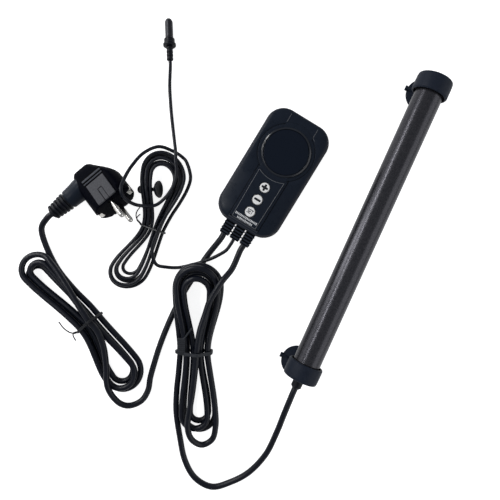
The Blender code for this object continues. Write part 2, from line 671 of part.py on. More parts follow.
def main_board(parent):
    outline = rounded(BOARD_WIDTH, BOARD_LENGTH, BOARD_CORNER, 4, (0, BOARD_Y))
    board = solid("main_board", plate(outline, BOARD_Z, BOARD_Z + BOARD_THICK), "board", parent)
    for x, y in screw_places():
        combine(board, round_hole("board_hole", POST_RADIUS + GAP, 0, 10 * mm, parent, x, y, 14))
    top = BOARD_Z + BOARD_THICK + GAP
    blocks = (("mains_relay", 15, 19, 9.4, 15, MODULE_Y, "relay"),
              ("power_module", 15, 24, 8.6, -15, MODULE_Y, "component"),
              ("fuse_holder", 6, 20, 6.5, 20, FUSE_Y, "ceramic"))
    for name, width, length, height, x, y, finish in blocks:
        form = block(width * mm, length * mm, top, top + height * mm, (x * mm, y))
        solid(name, form, finish, parent)
    solid("smoothing_capacitor", rod(4.5 * mm, top, top + 9.0 * mm), "component", parent,
          (-19 * mm, CAPACITOR_Y, 0))


def strain_relief(name, parent, x):
    """Ribbed rubber block with a flange inside the housing's wall."""
    wall_out = -BOX_LENGTH / 2
    half = (RELIEF_PITCH - GAP) / 2
    # the outer reliefs reach into the corners, where the wall comes further in
    lining = BOX_WALL + LEAN_INSET
    corner = BOX_CORNER - lining
    into = RELIEF_PITCH + half - (BOX_WIDTH / 2 - BOX_CORNER)
    drop = corner - math.sqrt(corner ** 2 - into ** 2) + corner * (1 - math.cos(math.pi / 4 / BOX_STEPS))
    wall_in = wall_out + lining + drop
    tall = RELIEF_HEIGHT / 2
    rise = tall + RELIEF_FLANGE_RISE
    tip = wall_out - RELIEF_LENGTH
    spans = [(wall_in + GAP + RELIEF_FLANGE, half, rise), (wall_in + GAP, half, rise),
             (wall_in + GAP, half, tall), (wall_out - 0.8 * mm, half, tall)]
    pitch = (RELIEF_LENGTH - 2.6 * mm) / RELIEF_RIBS
    for k in range(RELIEF_RIBS):
        high = wall_out - 0.8 * mm - k * pitch
        low = high - RELIEF_GROOVE_WIDTH
        spans += [(high, half - RELIEF_GROOVE, tall - RELIEF_GROOVE),
                  (low, half - RELIEF_GROOVE, tall - RELIEF_GROOVE),
                  (low, half, tall), (high - pitch, half, tall)]
    spans += [(tip, half - 0.7 * mm, tall - 0.7 * mm)]
    rings = []
    for y, wide, high in spans:
        outline = rounded(2 * wide, 2 * high, 1.2 * mm, 1)
        rings.append([(x + u, y, RELIEF_MIDDLE_Z + v) for u, v in outline])
    return solid(name, loft(rings), "rubber", parent)


def thermostat():
    box = empty("thermostat", (BOX_X, BOX_Y, 0), (0, 0, BOX_TURN))
    window = relief_window(box)
    front_shell(box, window)
    rear_shell(box, window)
    housing_seal(box, window)
    screws(box)
    display(box)
    keys(box)
    keypad_overlay(box)
    main_board(box)
    for name, step in (("mains_relief", -1), ("sensor_relief", 0), ("heater_relief", 1)):
        strain_relief(name, box, step * RELIEF_PITCH)
    return box


# ---------------------------------------------------------------- plug

def plug_section(depth, reach, flat, drift=0.0, narrow=1.0, count=32):
    """A circle cut off flat on the two grip sides; depth is behind the face."""
    points = []
    for k in range(count):
        angle = math.tau * (k + 0.5) / count
        x = max(-flat, min(flat, reach * math.cos(angle)))
        points.append((x, drift + narrow * reach * math.sin(angle), -depth))
    return points


def plug():
    """Its Z axis is along the pins, its X axis from pin to pin, its cable leaves towards -Y."""
    # it rests on its rim's rear edge and on its back, so the pins point up
    slope = math.atan((PLUG_RADIUS - PLUG_BACK_HALF) / (PLUG_BACK - PLUG_RIM))
    heading = Matrix.Rotation(PLUG_HEADING, 4, "Z")
    # pins along +X, pin to pin upright, then tilted so that the pins point up
    stand = Matrix(((0, 0, 1, 0), (0, 1, 0, 0), (-1, 0, 0, 0), (0, 0, 0, 1)))
    tilt = Matrix.Rotation(-slope, 4, "Y")
    turned = heading @ tilt @ stand
    lowest = PLUG_RADIUS * math.cos(slope) + PLUG_RIM * math.sin(slope)
    holder = empty("plug_axis", (PLUG_X, PLUG_Y, lowest))
    holder.rotation_euler = turned.to_euler()
    rim, reach, flat = PLUG_RIM, PLUG_RADIUS, PLUG_FLAT
    back = PLUG_DEPTH
    sections = [plug_section(back, 9.5 * mm, 8.5 * mm, -4 * mm),
                plug_section(back - 1.0 * mm, 10.8 * mm, 9.6 * mm, -4 * mm),
                plug_section(PLUG_BACK, 14.0 * mm, PLUG_BACK_HALF, -3.0 * mm),
                plug_section(26 * mm, reach - 0.7 * mm, flat),
                plug_section(rim + 1.5 * mm, reach - 0.2 * mm, flat),
                plug_section(rim, reach, reach),
                plug_section(0.8 * mm, reach, reach),
                plug_section(0, reach - 0.8 * mm, reach)]
    body = solid("plug_body", loft(sections), "housing", holder, smooth=30)
    neck_rings = []
    necks = ((-6.0, 9.4, 1.1), (-16.0, 9.0, 1.0), (-24.0, 8.4, 1.0), (-NECK_END / mm, 8.0, 1.0))
    for y, radius, narrow in necks:
        neck_rings.append([(narrow * radius * mm * math.cos(math.tau * k / 16), y * mm,
                            radius * mm * math.sin(math.tau * k / 16)) for k in range(16)])
    neck = guide("plug_neck", loft(neck_rings), holder, (0, 0, -NECK_BEHIND))
    combine(body, neck, "UNION")
    for side in (1, -1):
        grip = []
        for depth, outer in ((GRIP_BACK, GRIP_LOW), (GRIP_FRONT, GRIP_HIGH)):
            low, high = sorted((side * 0.8 * flat, side * outer))
            corners = ((low, -1), (high, -1), (high, 1), (low, 1))
            grip.append([(x, end * GRIP_HALF, -depth) for x, end in corners])
        combine(body, guide("grip_pad", loft(grip), holder), "UNION")
    hole = round_hole("earth_socket", SOCKET_HOLE, -SOCKET_HOLE_DEPTH, mm, holder, 0, SOCKET_HOLE_OFFSET, 12)
    combine(body, hole)
    for side in (1, -1):
        place = (0, side * PLUG_RADIUS, 0)
        notch = block(EARTH_NOTCH, 2 * EARTH_NOTCH_DEPTH, -EARTH_STRIP_LENGTH - GAP, mm)
        combine(body, guide("earth_notch", notch, holder, place))
        strip_y = side * (PLUG_RADIUS - EARTH_NOTCH_DEPTH + GAP + EARTH_STRIP_THICK / 2)
        strip = block(EARTH_STRIP, EARTH_STRIP_THICK, -EARTH_STRIP_LENGTH, -mm)
        name = "earth_strip_upper" if side > 0 else "earth_strip_lower"
        solid(name, strip, "metal", holder, (0, strip_y, 0))
        pin_x = side * PIN_SPACING / 2
        pin_hole = round_hole("pin_hole", PIN_RADIUS + GAP, -6 * mm, mm, holder, pin_x, 0, 12)
        combine(body, pin_hole)
        tip = PIN_LENGTH
        profile = [(0, -6 * mm + GAP), (PIN_RADIUS, -6 * mm + GAP), (PIN_RADIUS, tip - 1.8 * mm),
                   (PIN_RADIUS * 0.75, tip - 0.5 * mm), (PIN_RADIUS * 0.3, tip), (0, tip)]
        name = "plug_pin_upper" if side < 0 else "plug_pin_lower"
        solid(name, revolve(profile, 12), "metal", holder, (pin_x, 0, 0))
    plug_boot(holder)
    return holder


def plug_boot(holder):
    """Ribbed strain relief, its ribs getting smaller towards the cable."""
    low = NECK_END + GAP
    profile = [(0, low), (NECK_RADIUS - 1.2 * mm, low)]
    pitch = (BOOT_LENGTH - 1.5 * mm) / BOOT_RIBS
    for k in range(BOOT_RIBS):
        start = low + 1.5 * mm + k * pitch
        radius = NECK_RADIUS + (BOOT_TIP - NECK_RADIUS) * k / (BOOT_RIBS - 1)
        profile += [(radius - BOOT_GROOVE, start), (radius, start + 0.2 * mm),
                    (radius, start + pitch - 1.5 * mm), (radius - BOOT_GROOVE, start + pitch - 1.3 * mm)]
    tip = low + BOOT_LENGTH
    profile += [(BOOT_TIP - BOOT_GROOVE, tip), (0, tip)]
    solid("plug_boot", revolve(profile, 14), "rubber", holder, (0, 0, -NECK_BEHIND), (math.radians(90), 0, 0))


# ---------------------------------------------------------------- probe and its cup

def probe():
    """Capsule, collar and ribbed relief in a line, lying on the surface."""
    # it rests on its collar and on the capsule's tip
    collar_at = PROBE_RELIEF + GAP + COLLAR_LENGTH - 0.6 * mm
    tip_at = collar_at + SHOULDER_LENGTH + GAP + CAPSULE_LENGTH - CAPSULE_RADIUS
    drop = math.atan((COLLAR_RADIUS - CAPSULE_RADIUS) / (tip_at - collar_at))
    aim = Matrix.Rotation(PROBE_HEADING, 4, "Z") @ Matrix.Rotation(math.radians(90) + drop, 4, "Y")
    lowest = collar_at * math.sin(drop) + COLLAR_RADIUS * math.cos(drop)
    holder = empty("probe_axis", (PROBE_X, PROBE_Y, lowest + 0.1 * mm))
    holder.rotation_euler = aim.to_euler()
    wide, narrow = PROBE_RELIEF_RADIUS, PROBE_RELIEF_RADIUS - 0.8 * mm
    profile = [(0, 0), (wide - 1.0 * mm, 0)]
    for k in range(3):
        start = (0.4 + 3.4 * k) * mm
        profile += [(wide, start), (wide, start + 2.2 * mm)]
        profile += [(narrow, start + 2.3 * mm), (narrow, start + 3.3 * mm)]
    profile += [(wide, PROBE_RELIEF - 2.2 * mm), (wide, PROBE_RELIEF), (0, PROBE_RELIEF)]
    solid("probe_relief", revolve(profile, 12), "rubber", holder)
    low = PROBE_RELIEF + GAP
    ring, shoulder = low + COLLAR_LENGTH, low + COLLAR_LENGTH + SHOULDER_LENGTH
    profile = [(0, low), (COLLAR_RADIUS - 0.6 * mm, low), (COLLAR_RADIUS, low + 0.6 * mm),
               (COLLAR_RADIUS, ring - 0.6 * mm), (COLLAR_RADIUS - 0.6 * mm, ring), (SHOULDER_RADIUS, ring),
               (SHOULDER_RADIUS, shoulder - mm), (SHOULDER_RADIUS - mm, shoulder), (0, shoulder)]
    solid("probe_collar", revolve(profile, 16), "rubber", holder)
    start = shoulder + GAP
    top, radius = start + CAPSULE_LENGTH, CAPSULE_RADIUS
    arc = [math.radians(a) for a in (0, 30, 60)]
    outer = [(radius * math.cos(a), top - radius + radius * math.sin(a)) for a in arc] + [(0, top)]
    profile = [(0, start), (radius, start)] + outer
    solid("probe_capsule", revolve(profile, 16), "coated_steel", holder)
    return holder


def sensor_cup():
    """Suction cup with a clip ring for the probe, lying on its side under the sensor cord."""
    aim = Matrix.Rotation(CLIP_HEADING, 4, "Z") @ Matrix.Rotation(math.radians(90) - CLIP_RISE, 4, "Y")
    height = CLIP_CUP * math.cos(CLIP_RISE) - CLIP_REACH * math.sin(CLIP_RISE) + 0.2 * mm
    holder = empty("clip_axis", (CLIP_X, CLIP_Y, height))
    holder.rotation_euler = aim.to_euler()
    rim = CLIP_REACH
    profile = [(0, 0), (CLIP_NECK, 0), (CLIP_NECK, rim - 5.2 * mm), (CLIP_CUP * 0.45, rim - 4.4 * mm),
               (CLIP_CUP * 0.85, rim - 2.6 * mm), (CLIP_CUP, rim - 0.7 * mm), (CLIP_CUP, rim),
               (CLIP_CUP - 0.8 * mm, rim), (CLIP_CUP * 0.5, rim - 1.8 * mm), (0, rim - 2.4 * mm)]
    cup = solid("sensor_suction_cup", revolve(profile, 20), "rubber", holder)
    ring = rod(CLIP_RING, -CLIP_THICK / 2, CLIP_THICK / 2)
    across = (0, math.radians(90), 0)
    seat = (0, 0, -CLIP_BORE)
    combine(cup, guide("clip_ring", ring, holder, seat, across), "UNION")
    bore = rod(CLIP_BORE, -CLIP_THICK, CLIP_THICK, 12)
    combine(cup, guide("clip_bore", bore, holder, seat, across))


# ---------------------------------------------------------------- cords

def smooth_path(points, step, straight=0.0):
    """Read evenly spaced points from a smooth curve through the given ones."""
    knots = np.array(points, float)
    ends = np.vstack([2 * knots[0] - knots[1], knots, 2 * knots[-1] - knots[-2]])
    fine = []
    for i in range(1, len(ends) - 2):
        before, start, end, after = ends[i - 1:i + 3]
        t = np.linspace(0, 1, 24, endpoint=False)[:, None]
        bend = 2 * before - 5 * start + 4 * end - after
        change = 3 * start - before - 3 * end + after
        fine.append(0.5 * (2 * start + (end - before) * t + bend * t ** 2 + change * t ** 3))
    fine.append(knots[-1:])
    fine = np.vstack(fine)
    along = np.concatenate([[0], np.cumsum(np.linalg.norm(np.diff(fine, axis=0), axis=1))])
    count = max(3, round(along[-1] / step) + 1)
    wanted = np.linspace(0, along[-1], count)
    return np.stack([np.interp(wanted, along, fine[:, k]) for k in range(3)], 1)


def tube(name, points, radius, finish, sides=2, parent=None):
    """One round tube along the points, with flat ends."""
    curve = bpy.data.curves.new(name, "CURVE")
    curve.dimensions = "3D"
    spline = curve.splines.new("POLY")
    spline.points.add(len(points) - 1)
    for slot, point in zip(spline.points, points):
        slot.co = (*point, 1.0)
    curve.bevel_depth = radius
    curve.bevel_resolution = sides
    curve.use_fill_caps = True
    curve.materials.append(finish_for(name, finish))
    item = bpy.data.objects.new(name, curve)
    bpy.context.collection.objects.link(item)
    item.parent = parent
    return item


def path_length(points):
    return float(np.linalg.norm(np.diff(np.asarray(points), axis=0), axis=1).sum())


def least_gap(points, diameter):
    """Smallest space between stretches of one cord that aren't neighbours along it."""
    spots = smooth_path(points, diameter / 3)
    along = np.linspace(0, path_length(spots), len(spots))
    apart = np.linalg.norm(spots[:, None] - spots[None], axis=2)
    far = np.abs(along[:, None] - along[None]) > 3.5 * diameter
    return float(apart[far].min()) - diameter


class Hank:
    """Loops laid in two layers: they spiral in, climb, and spiral out, drawn in at the waist."""

    def __init__(self, waist, axis, diameter, turns, turn_back, upper, lower, bow=0.0, lifts=(), entry=False):
        self.waist = np.array([waist[0], waist[1]]) * mm
        self.axis = np.array([math.cos(axis), math.sin(axis)])
        self.right = np.array([math.sin(axis), -math.cos(axis)])
        self.diameter, self.turns, self.turn_back = diameter, turns, turn_back
        self.pitch = diameter + CORD_GAP
        self.upper, self.lower = upper, lower
        self.half_waist = (turn_back + 0.25) * self.pitch
        self.bow, self.lifts, self.entry = bow, lifts, entry

    def flat_point(self, turn):
        """Place across and along the hank; each end is (reach, half width)."""
        inset = self.pitch * min(turn, 2 * self.turn_back - turn)
        half = math.floor(turn * 2)
        part = turn * 2 - half
        reach, width = self.upper if half % 2 == 0 else self.lower
        radius = width - 1.05 * inset
        centre = reach - width
        neck = self.half_waist - inset
        # a quarter of the points go to each run, and the middle half to the bend
        if 0.25 < part < 0.75:
            angle = (part - 0.25) * math.tau
            across, along = radius * math.cos(angle), centre + radius * math.sin(angle)
        else:
            ahead = min(part, 1 - part) * 4
            ease = ahead * ahead * (3 - 2 * ahead)
            across, along = neck + (radius - neck) * ease, centre * ahead
            across = across if part < 0.5 else -across
        return (-across, -along) if half % 2 else (across, along)

    def layer(self, turn):
        """Height share: 1 on the upper layer, 0 on the lower one."""
        part = min(1.0, max(0.0, (turn - self.turn_back) * 2 + 0.5))
        return 1 - part * part * (3 - 2 * part)

    def place(self, across, along, level):
        """A point on the hank; level counts the layers of cord beneath it."""
        bend = self.bow * (math.hypot(along, 15 * mm) - 15 * mm)
        flat = self.waist + self.right * (across + bend) + self.axis * along
        height = self.diameter / 2 + self.pitch * level
        for x, y, x2, y2, wide, rise in self.lifts:
            start, end = np.array([x, y]) * mm, np.array([x2, y2]) * mm
            span = end - start
            share = min(1.0, max(0.0, float((flat - start) @ span) / float(span @ span)))
            away = float(np.linalg.norm(flat - start - span * share)) / (wide * mm)
            height += rise * mm * math.exp(-away * away)
        return np.array([flat[0], flat[1], height])

    def point(self, turn):
        across, along = self.flat_point(turn)
        level = self.layer(turn)
        if self.entry and turn < 0.16:
            # the first turn starts on top of the second and rolls off beside it
            roll = max(0.0, turn / 0.16) * math.pi / 2
            across -= self.pitch * (1 - math.sin(roll))
            level += math.cos(roll)
        return self.place(across, along, level)

    def points(self):
        """Points of the loops, with a straight diameter at each end."""
        count = round(self.turns * LOOP_POINTS) + 1
        step = self.turns / (count - 1)
        loops = [self.point(step * k) for k in range(-1, count + 1)]
        for end, near in ((0, 1), (-1, -2)):
            away = loops[end] - loops[near]
            loops[end] = loops[near] + away / np.linalg.norm(away) * self.diameter
        return np.array(loops)

    def local(self, across, along, level):
        return tuple(self.place(across * mm, along * mm, level))


def mains_loops():
    return Hank((-138.6, -181.4), math.radians(154.5), MAINS_CORD, 3, 1.5, (85 * mm, 17 * mm),
                (72 * mm, 20 * mm), bow=-0.04, entry=True, lifts=[(-132, -184.4, -145, -178.4, 25, 2.0)])


def heater_loops():
    lifts = [(-66, -84.4, -71, -142.4, 30, 6.6), (-70, -86.4, -63, -82.4, 22, 4.2),
             (-34, -165.4, -40, -163.4, 22, 2.4)]
    return Hank((-37, -164.4), math.radians(114.2), HEATER_CORD, 3.5, 1.5, (85 * mm, 22 * mm),
                (77 * mm, 17 * mm), lifts=lifts)


def sensor_loops():
    lifts = [(-150, -48.4, -130, -38.4, 30, 7.7), (-121, -78.4, -121, -72.4, 20, 0.6)]
    return Hank((-121, -76.4), math.radians(93.6), SENSOR_CORD, 5, 2.5, (72 * mm, 21.5 * mm),
                (62 * mm, 18.5 * mm), bow=-0.183, entry=True, lifts=lifts)


def spots(*points):
    return [(x * mm, y * mm, z * mm) for x, y, z in points]


def frame_of(item):
    """World matrix of an empty that has no parent."""
    return Matrix.Translation(item.location) @ item.rotation_euler.to_matrix().to_4x4()


def outlet(item, place, direction, reach=6 * mm):
    """Two points where a cord leaves a piece, square to it."""
    world = frame_of(item)
    start = world @ Vector(place)
    ahead = world.to_3x3() @ Vector(direction).normalized()
    return [tuple(start + ahead * GAP), tuple(start + ahead * (GAP + reach))]


def joining(points, diameter, start):
    """Two points that meet a wound cord end to end, ordered away from it."""
    near, far = (points[0], points[1]) if start else (points[-1], points[-2])
    outward = (near - far) / np.linalg.norm(near - far)
    return [tuple(near + outward * GAP), tuple(near + outward * (GAP + diameter))]


def cord(name, route, diameter, spacing=2.3):
    """A free stretch of cord, whose ends stay square to what they meet."""
    points = smooth_path(route, spacing * diameter)
    points[0], points[-1] = route[0], route[-1]
    for end, near, inner in ((0, 1, route[1]), (-1, -2, route[-2])):
        away = np.array(inner) - points[end]
        points[near] = points[end] + away / np.linalg.norm(away) * np.linalg.norm(points[near] - points[end])
    tube(name, points, diameter / 2, "cord")
    return points


def wound(name, hank):
    points = hank.points()
    tube(name, points, hank.diameter / 2, "cord", 1)
    gap = least_gap(points, hank.diameter)
    print(name, "length", round(path_length(points), 3), "least gap", round(gap, 5))
    return points


def mains_cord(box, plug_frame):
    hank = mains_loops()
    loops = wound("mains_hank", hank)
    route = outlet(box, (-RELIEF_PITCH, RELIEF_END_Y, RELIEF_MIDDLE_Z), (0, -1, -0.1))
    route += spots((-64, -79.4, 4.0), (-67, -98.4, 3), (-70, -119.4, 3), (-71, -138.4, 3), (-71, -157.4, 3),
                   (-70, -175.4, 3), (-68, -193.4, 3), (-66, -208.4, 3), (-63.5, -221.4, 3.5),
                   (-66, -233.4, 5), (-75, -241.4, 8), (-86, -239.4, 11.5))
    route += [hank.local(-20, -56, 2.05), hank.local(-9, -41, 2.08), hank.local(0, -27, 2.1),
              hank.local(4.4, -15, 2)]
    route += joining(loops, MAINS_CORD, True)[::-1]
    cord("mains_lead", route, MAINS_CORD)
    route = joining(loops, MAINS_CORD, False)
    route += [hank.local(16.2, 30, 0.02), hank.local(19, 48, 0.02), hank.local(21, 66, 0.02)]
    route += spots((-207, -131, 3), (-214, -122, 4.5), (-214.8, -114, 8))
    route += outlet(plug_frame, BOOT_END, (0, -1, 0))[::-1]
    cord("plug_lead", route, MAINS_CORD)
    return hank


def heater_cord(box, heater_axis):
    hank = heater_loops()
    loops = wound("heater_hank", hank)
    route = outlet(box, (RELIEF_PITCH, RELIEF_END_Y, RELIEF_MIDDLE_Z), (0, -1, 0))
    route += spots((-37.5, -79.4, 15))
    route += [hank.local(25, 66, 2.05), hank.local(15, 50, 2.05), hank.local(10, 36, 2.05),
              hank.local(5, 20, 2.1), hank.local(CROSSING_ACROSS, 0, CROSSING_LEVEL),
              hank.local(0.5, -17, 2.1), hank.local(-2, -36, 2.1), hank.local(-5, -54, 2.1),
              hank.local(-6.5, -68, 2.1), hank.local(-3, -80, 1.7), hank.local(6, -87, 0.9),
              hank.local(15.5, -82, 0.7), hank.local(18.6, -70, 0.95)]
    route += [tuple(hank.point(-turn)) for turn in (0.125, 0.0833)]
    route += joining(loops, HEATER_CORD, True)[::-1]
    cord("heater_lead", route, HEATER_CORD)
    route = joining(loops, HEATER_CORD, False)
    route += [tuple(hank.point(3.5 + turn)) for turn in (0.0417, 0.0833, 0.125)]
    route += spots((-24, -237.4, 3), (-14, -252.4, 3), (-2, -268.4, 3), (12, -277.4, 3), (29, -276.4, 3),
                   (43, -265.4, 3), (55, -248.4, 5), (61.5, -224.4, 10), (61, -199.4, 17), (59, -178.4, 23))
    route += outlet(heater_axis, (0, 0, -HEATER_END), (0, 0, -1))[::-1]
    cord("heater_tail", route, HEATER_CORD)
    return hank


def sensor_cord(box, probe_frame):
    hank = sensor_loops()
    loops = wound("sensor_hank", hank)
    route = outlet(box, (0, RELIEF_END_Y, RELIEF_MIDDLE_Z), (0, -1, 0))
    route += spots((-50, -67.4, 9.8), (-57, -76.9, 9.3), (-63.5, -83.4, 8.5), (-69, -88.4, 7.6),
                   (-77, -94.9, 3.0), (-85, -100.4, 1.7), (-94, -103.9, 3))
    route += [hank.local(20, -30, 1.6), hank.local(13, -24, 2.1), hank.local(7.6, -14, 2.1)]
    route += joining(loops, SENSOR_CORD, True)[::-1]
    cord("sensor_lead", route, SENSOR_CORD)
    route = joining(loops, SENSOR_CORD, False)
    route += [hank.local(14, 17, 0), hank.local(20, 31, 0), hank.local(25, 46, 0), hank.local(26, 60, 0),
              hank.local(20.5, 73, 0)]
    route += spots((-122, 1.6, 1.7), (-134, 2.6, 1.7), (-146, -3.4, 4), (-154.5, -15.4, 11),
                   (-158.5, -30.4, 20),
                   (-157.5, -41.4, 27.5), (-155.2, -50.2, 34.3), (-153, -55, 37.3), (-148.5, -59.6, 36),
                   (-142.5, -61.7, 29), (-136, -60.9, 21.5))
    route += [hank.local(-1, 21, 2.3), hank.local(7, 31, 1.9), hank.local(12, 43, 2.0),
              hank.local(13, 55, 2.3), hank.local(10, 65, 2.3)]
    route += spots((-128.5, -3.4, 10.5), (-134.5, 5.6, 5.8), (-141, 15.6, 2.4), (-148, 27.6, 2),
                   (-154, 38.6, 2), (-160, 50.6, 2.5))
    route += outlet(probe_frame, (0, 0, 0), (0, 0, -1))[::-1]
    cord("sensor_tail", route, SENSOR_CORD, 2.7)
    return hank


# ---------------------------------------------------------------- ties round the hanks

def hull(points):
    """Outer points of a flat set, counterclockwise."""
    ordered = sorted(set(points))
    sides = []
    for run in (ordered, ordered[::-1]):
        side = []
        for point in run:
            while len(side) > 1:
                (ax, ay), (bx, by) = side[-2], side[-1]
                if (bx - ax) * (point[1] - ay) - (by - ay) * (point[0] - ax) > 1e-12:
                    break
                side.pop()
            side.append(point)
        sides += side[:-1]
    return sides


def band_outline(centres, radius):
    """Tightest outline round circles of one size."""
    angles = [math.tau * (k + 0.5) / 16 for k in range(16)]
    return hull([(x + radius * math.cos(a), z + radius * math.sin(a)) for x, z in centres for a in angles])


def sweep(path, radius, sides=6):
    """Closed round bar along points, thinner at its ends."""
    rings = []
    for k, point in enumerate(path):
        ahead = Vector(path[min(k + 1, len(path) - 1)]) - Vector(path[max(k - 1, 0)])
        side = ahead.cross(Vector((0.3, 0.2, 1.0))).normalized()
        rise = side.cross(ahead).normalized()
        rings.append([Vector(point) + radius * (side * math.cos(math.tau * j / sides)
                      + rise * math.sin(math.tau * j / sides)) for j in range(sides)])
    return loft(rings)


def tie(name, hank, centres, width, thick):
    """Band round a hank's waist; centres are (across, height) of the cords."""
    inner_radius = hank.diameter / 2 + GAP + CORD_SPREAD * width / 2
    inner = band_outline(centres, inner_radius)
    outer = band_outline(centres, inner_radius + thick)
    rings = [[(x, y, z) for x, z in outline] for outline, y in
             ((inner, -width / 2), (outer, -width / 2), (outer, width / 2), (inner, width / 2))]
    start = hank.waist
    turn = math.atan2(hank.axis[1], hank.axis[0]) - math.pi / 2
    return solid(name, loft(rings, closed=True), "rubber", None, (start[0], start[1], 0), (0, 0, turn), 50)


def waist_centres(hank, extra=()):
    """Where the cords cross the hank's waist; extra cords lie at (across, level)."""
    spots_there = [(across * mm, float(hank.place(across * mm, 0, level)[2])) for across, level in extra]
    for k in range(round(hank.turns * 2) + 1):
        place = hank.point(k / 2)
        across = float((place[:2] - hank.waist) @ hank.right)
        spots_there.append((across, float(place[2])))
    return spots_there


def twist(item, place, tails):
    """Twisted ends of a wire tie: a short knot and two loose tails."""
    x, y, z = place
    knot = [(x, y, z), (x - 1.5 * mm, y, z + 1.0 * mm), (x - 3.5 * mm, y + 0.5 * mm, z + 0.8 * mm)]
    combine(item, guide("tie_knot", sweep(knot, 1.3 * mm), item), "UNION")
    for k, tail in enumerate(tails):
        path = [knot[2]] + [(x + dx * mm, y + dy * mm, z + dz * mm) for dx, dy, dz in tail]
        path[0] = (path[0][0] + 0.6 * mm, path[0][1], path[0][2])
        combine(item, guide(f"tie_tail_{k}", sweep(path, 0.7 * mm), item), "UNION")


def ties(mains, heater, sensor):
    band = tie("mains_tie", mains, waist_centres(mains), 2.2 * mm, 0.9 * mm)
    left = -band_reach(mains) - 0.6 * mm
    twist(band, (left, 0, 6 * mm), [[(-5, 4, 2), (-8, 12, 1), (-8, 20, -1)], [(-5, -3, 0), (-8, -6, -2)]])
    crossing = [(CROSSING_ACROSS, CROSSING_LEVEL)]
    strap = tie("heater_tie", heater, waist_centres(heater, crossing), 4.4 * mm, 1.3 * mm)
    head = block(6 * mm, 6.4 * mm, 2.5 * mm, 9 * mm, (-band_reach(heater) - 3.9 * mm, 0))
    combine(strap, guide("strap_head", head, strap), "UNION")
    wire = tie("sensor_tie", sensor, waist_centres(sensor), 1.6 * mm, 0.8 * mm)
    left = -band_reach(sensor) - 0.4 * mm
    twist(wire, (left, 0, 4 * mm), [[(-5, 3, 2), (-7, 9, 3), (-5, 16, 3)], [(-5, -2, 0), (-8, -3, -1)]])


def band_reach(hank):
    """How far a band's left side lies from the hank's middle."""
    return max(-x for x, z in waist_centres(hank)) + hank.diameter / 2 + GAP


def main():
    clear_scene()
    heater()
    box = thermostat()
    plug_frame = plug()
    probe_frame = probe()
    sensor_cup()
    axis = bpy.data.objects["heater_axis"]
    mains = mains_cord(box, plug_frame)
    heater_loop = heater_cord(box, axis)
    sensor = sensor_cord(box, probe_frame)
    ties(mains, heater_loop, sensor)


main()
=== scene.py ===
import math
import bmesh
import bpy
import numpy as np
from mathutils import Matrix
from mathutils.geometry import delaunay_2d_cdt


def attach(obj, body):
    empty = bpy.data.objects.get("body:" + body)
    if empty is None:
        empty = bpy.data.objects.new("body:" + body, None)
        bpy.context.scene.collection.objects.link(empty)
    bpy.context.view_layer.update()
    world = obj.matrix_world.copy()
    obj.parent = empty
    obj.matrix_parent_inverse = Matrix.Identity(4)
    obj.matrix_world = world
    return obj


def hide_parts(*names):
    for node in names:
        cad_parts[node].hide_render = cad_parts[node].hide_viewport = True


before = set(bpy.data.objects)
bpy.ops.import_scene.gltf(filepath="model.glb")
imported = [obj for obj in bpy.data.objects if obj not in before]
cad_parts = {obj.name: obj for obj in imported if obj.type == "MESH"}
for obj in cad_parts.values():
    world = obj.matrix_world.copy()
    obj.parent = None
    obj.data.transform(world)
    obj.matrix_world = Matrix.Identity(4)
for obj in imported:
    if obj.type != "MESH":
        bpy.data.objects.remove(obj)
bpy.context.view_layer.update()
mm = 0.001


# ---- finishes

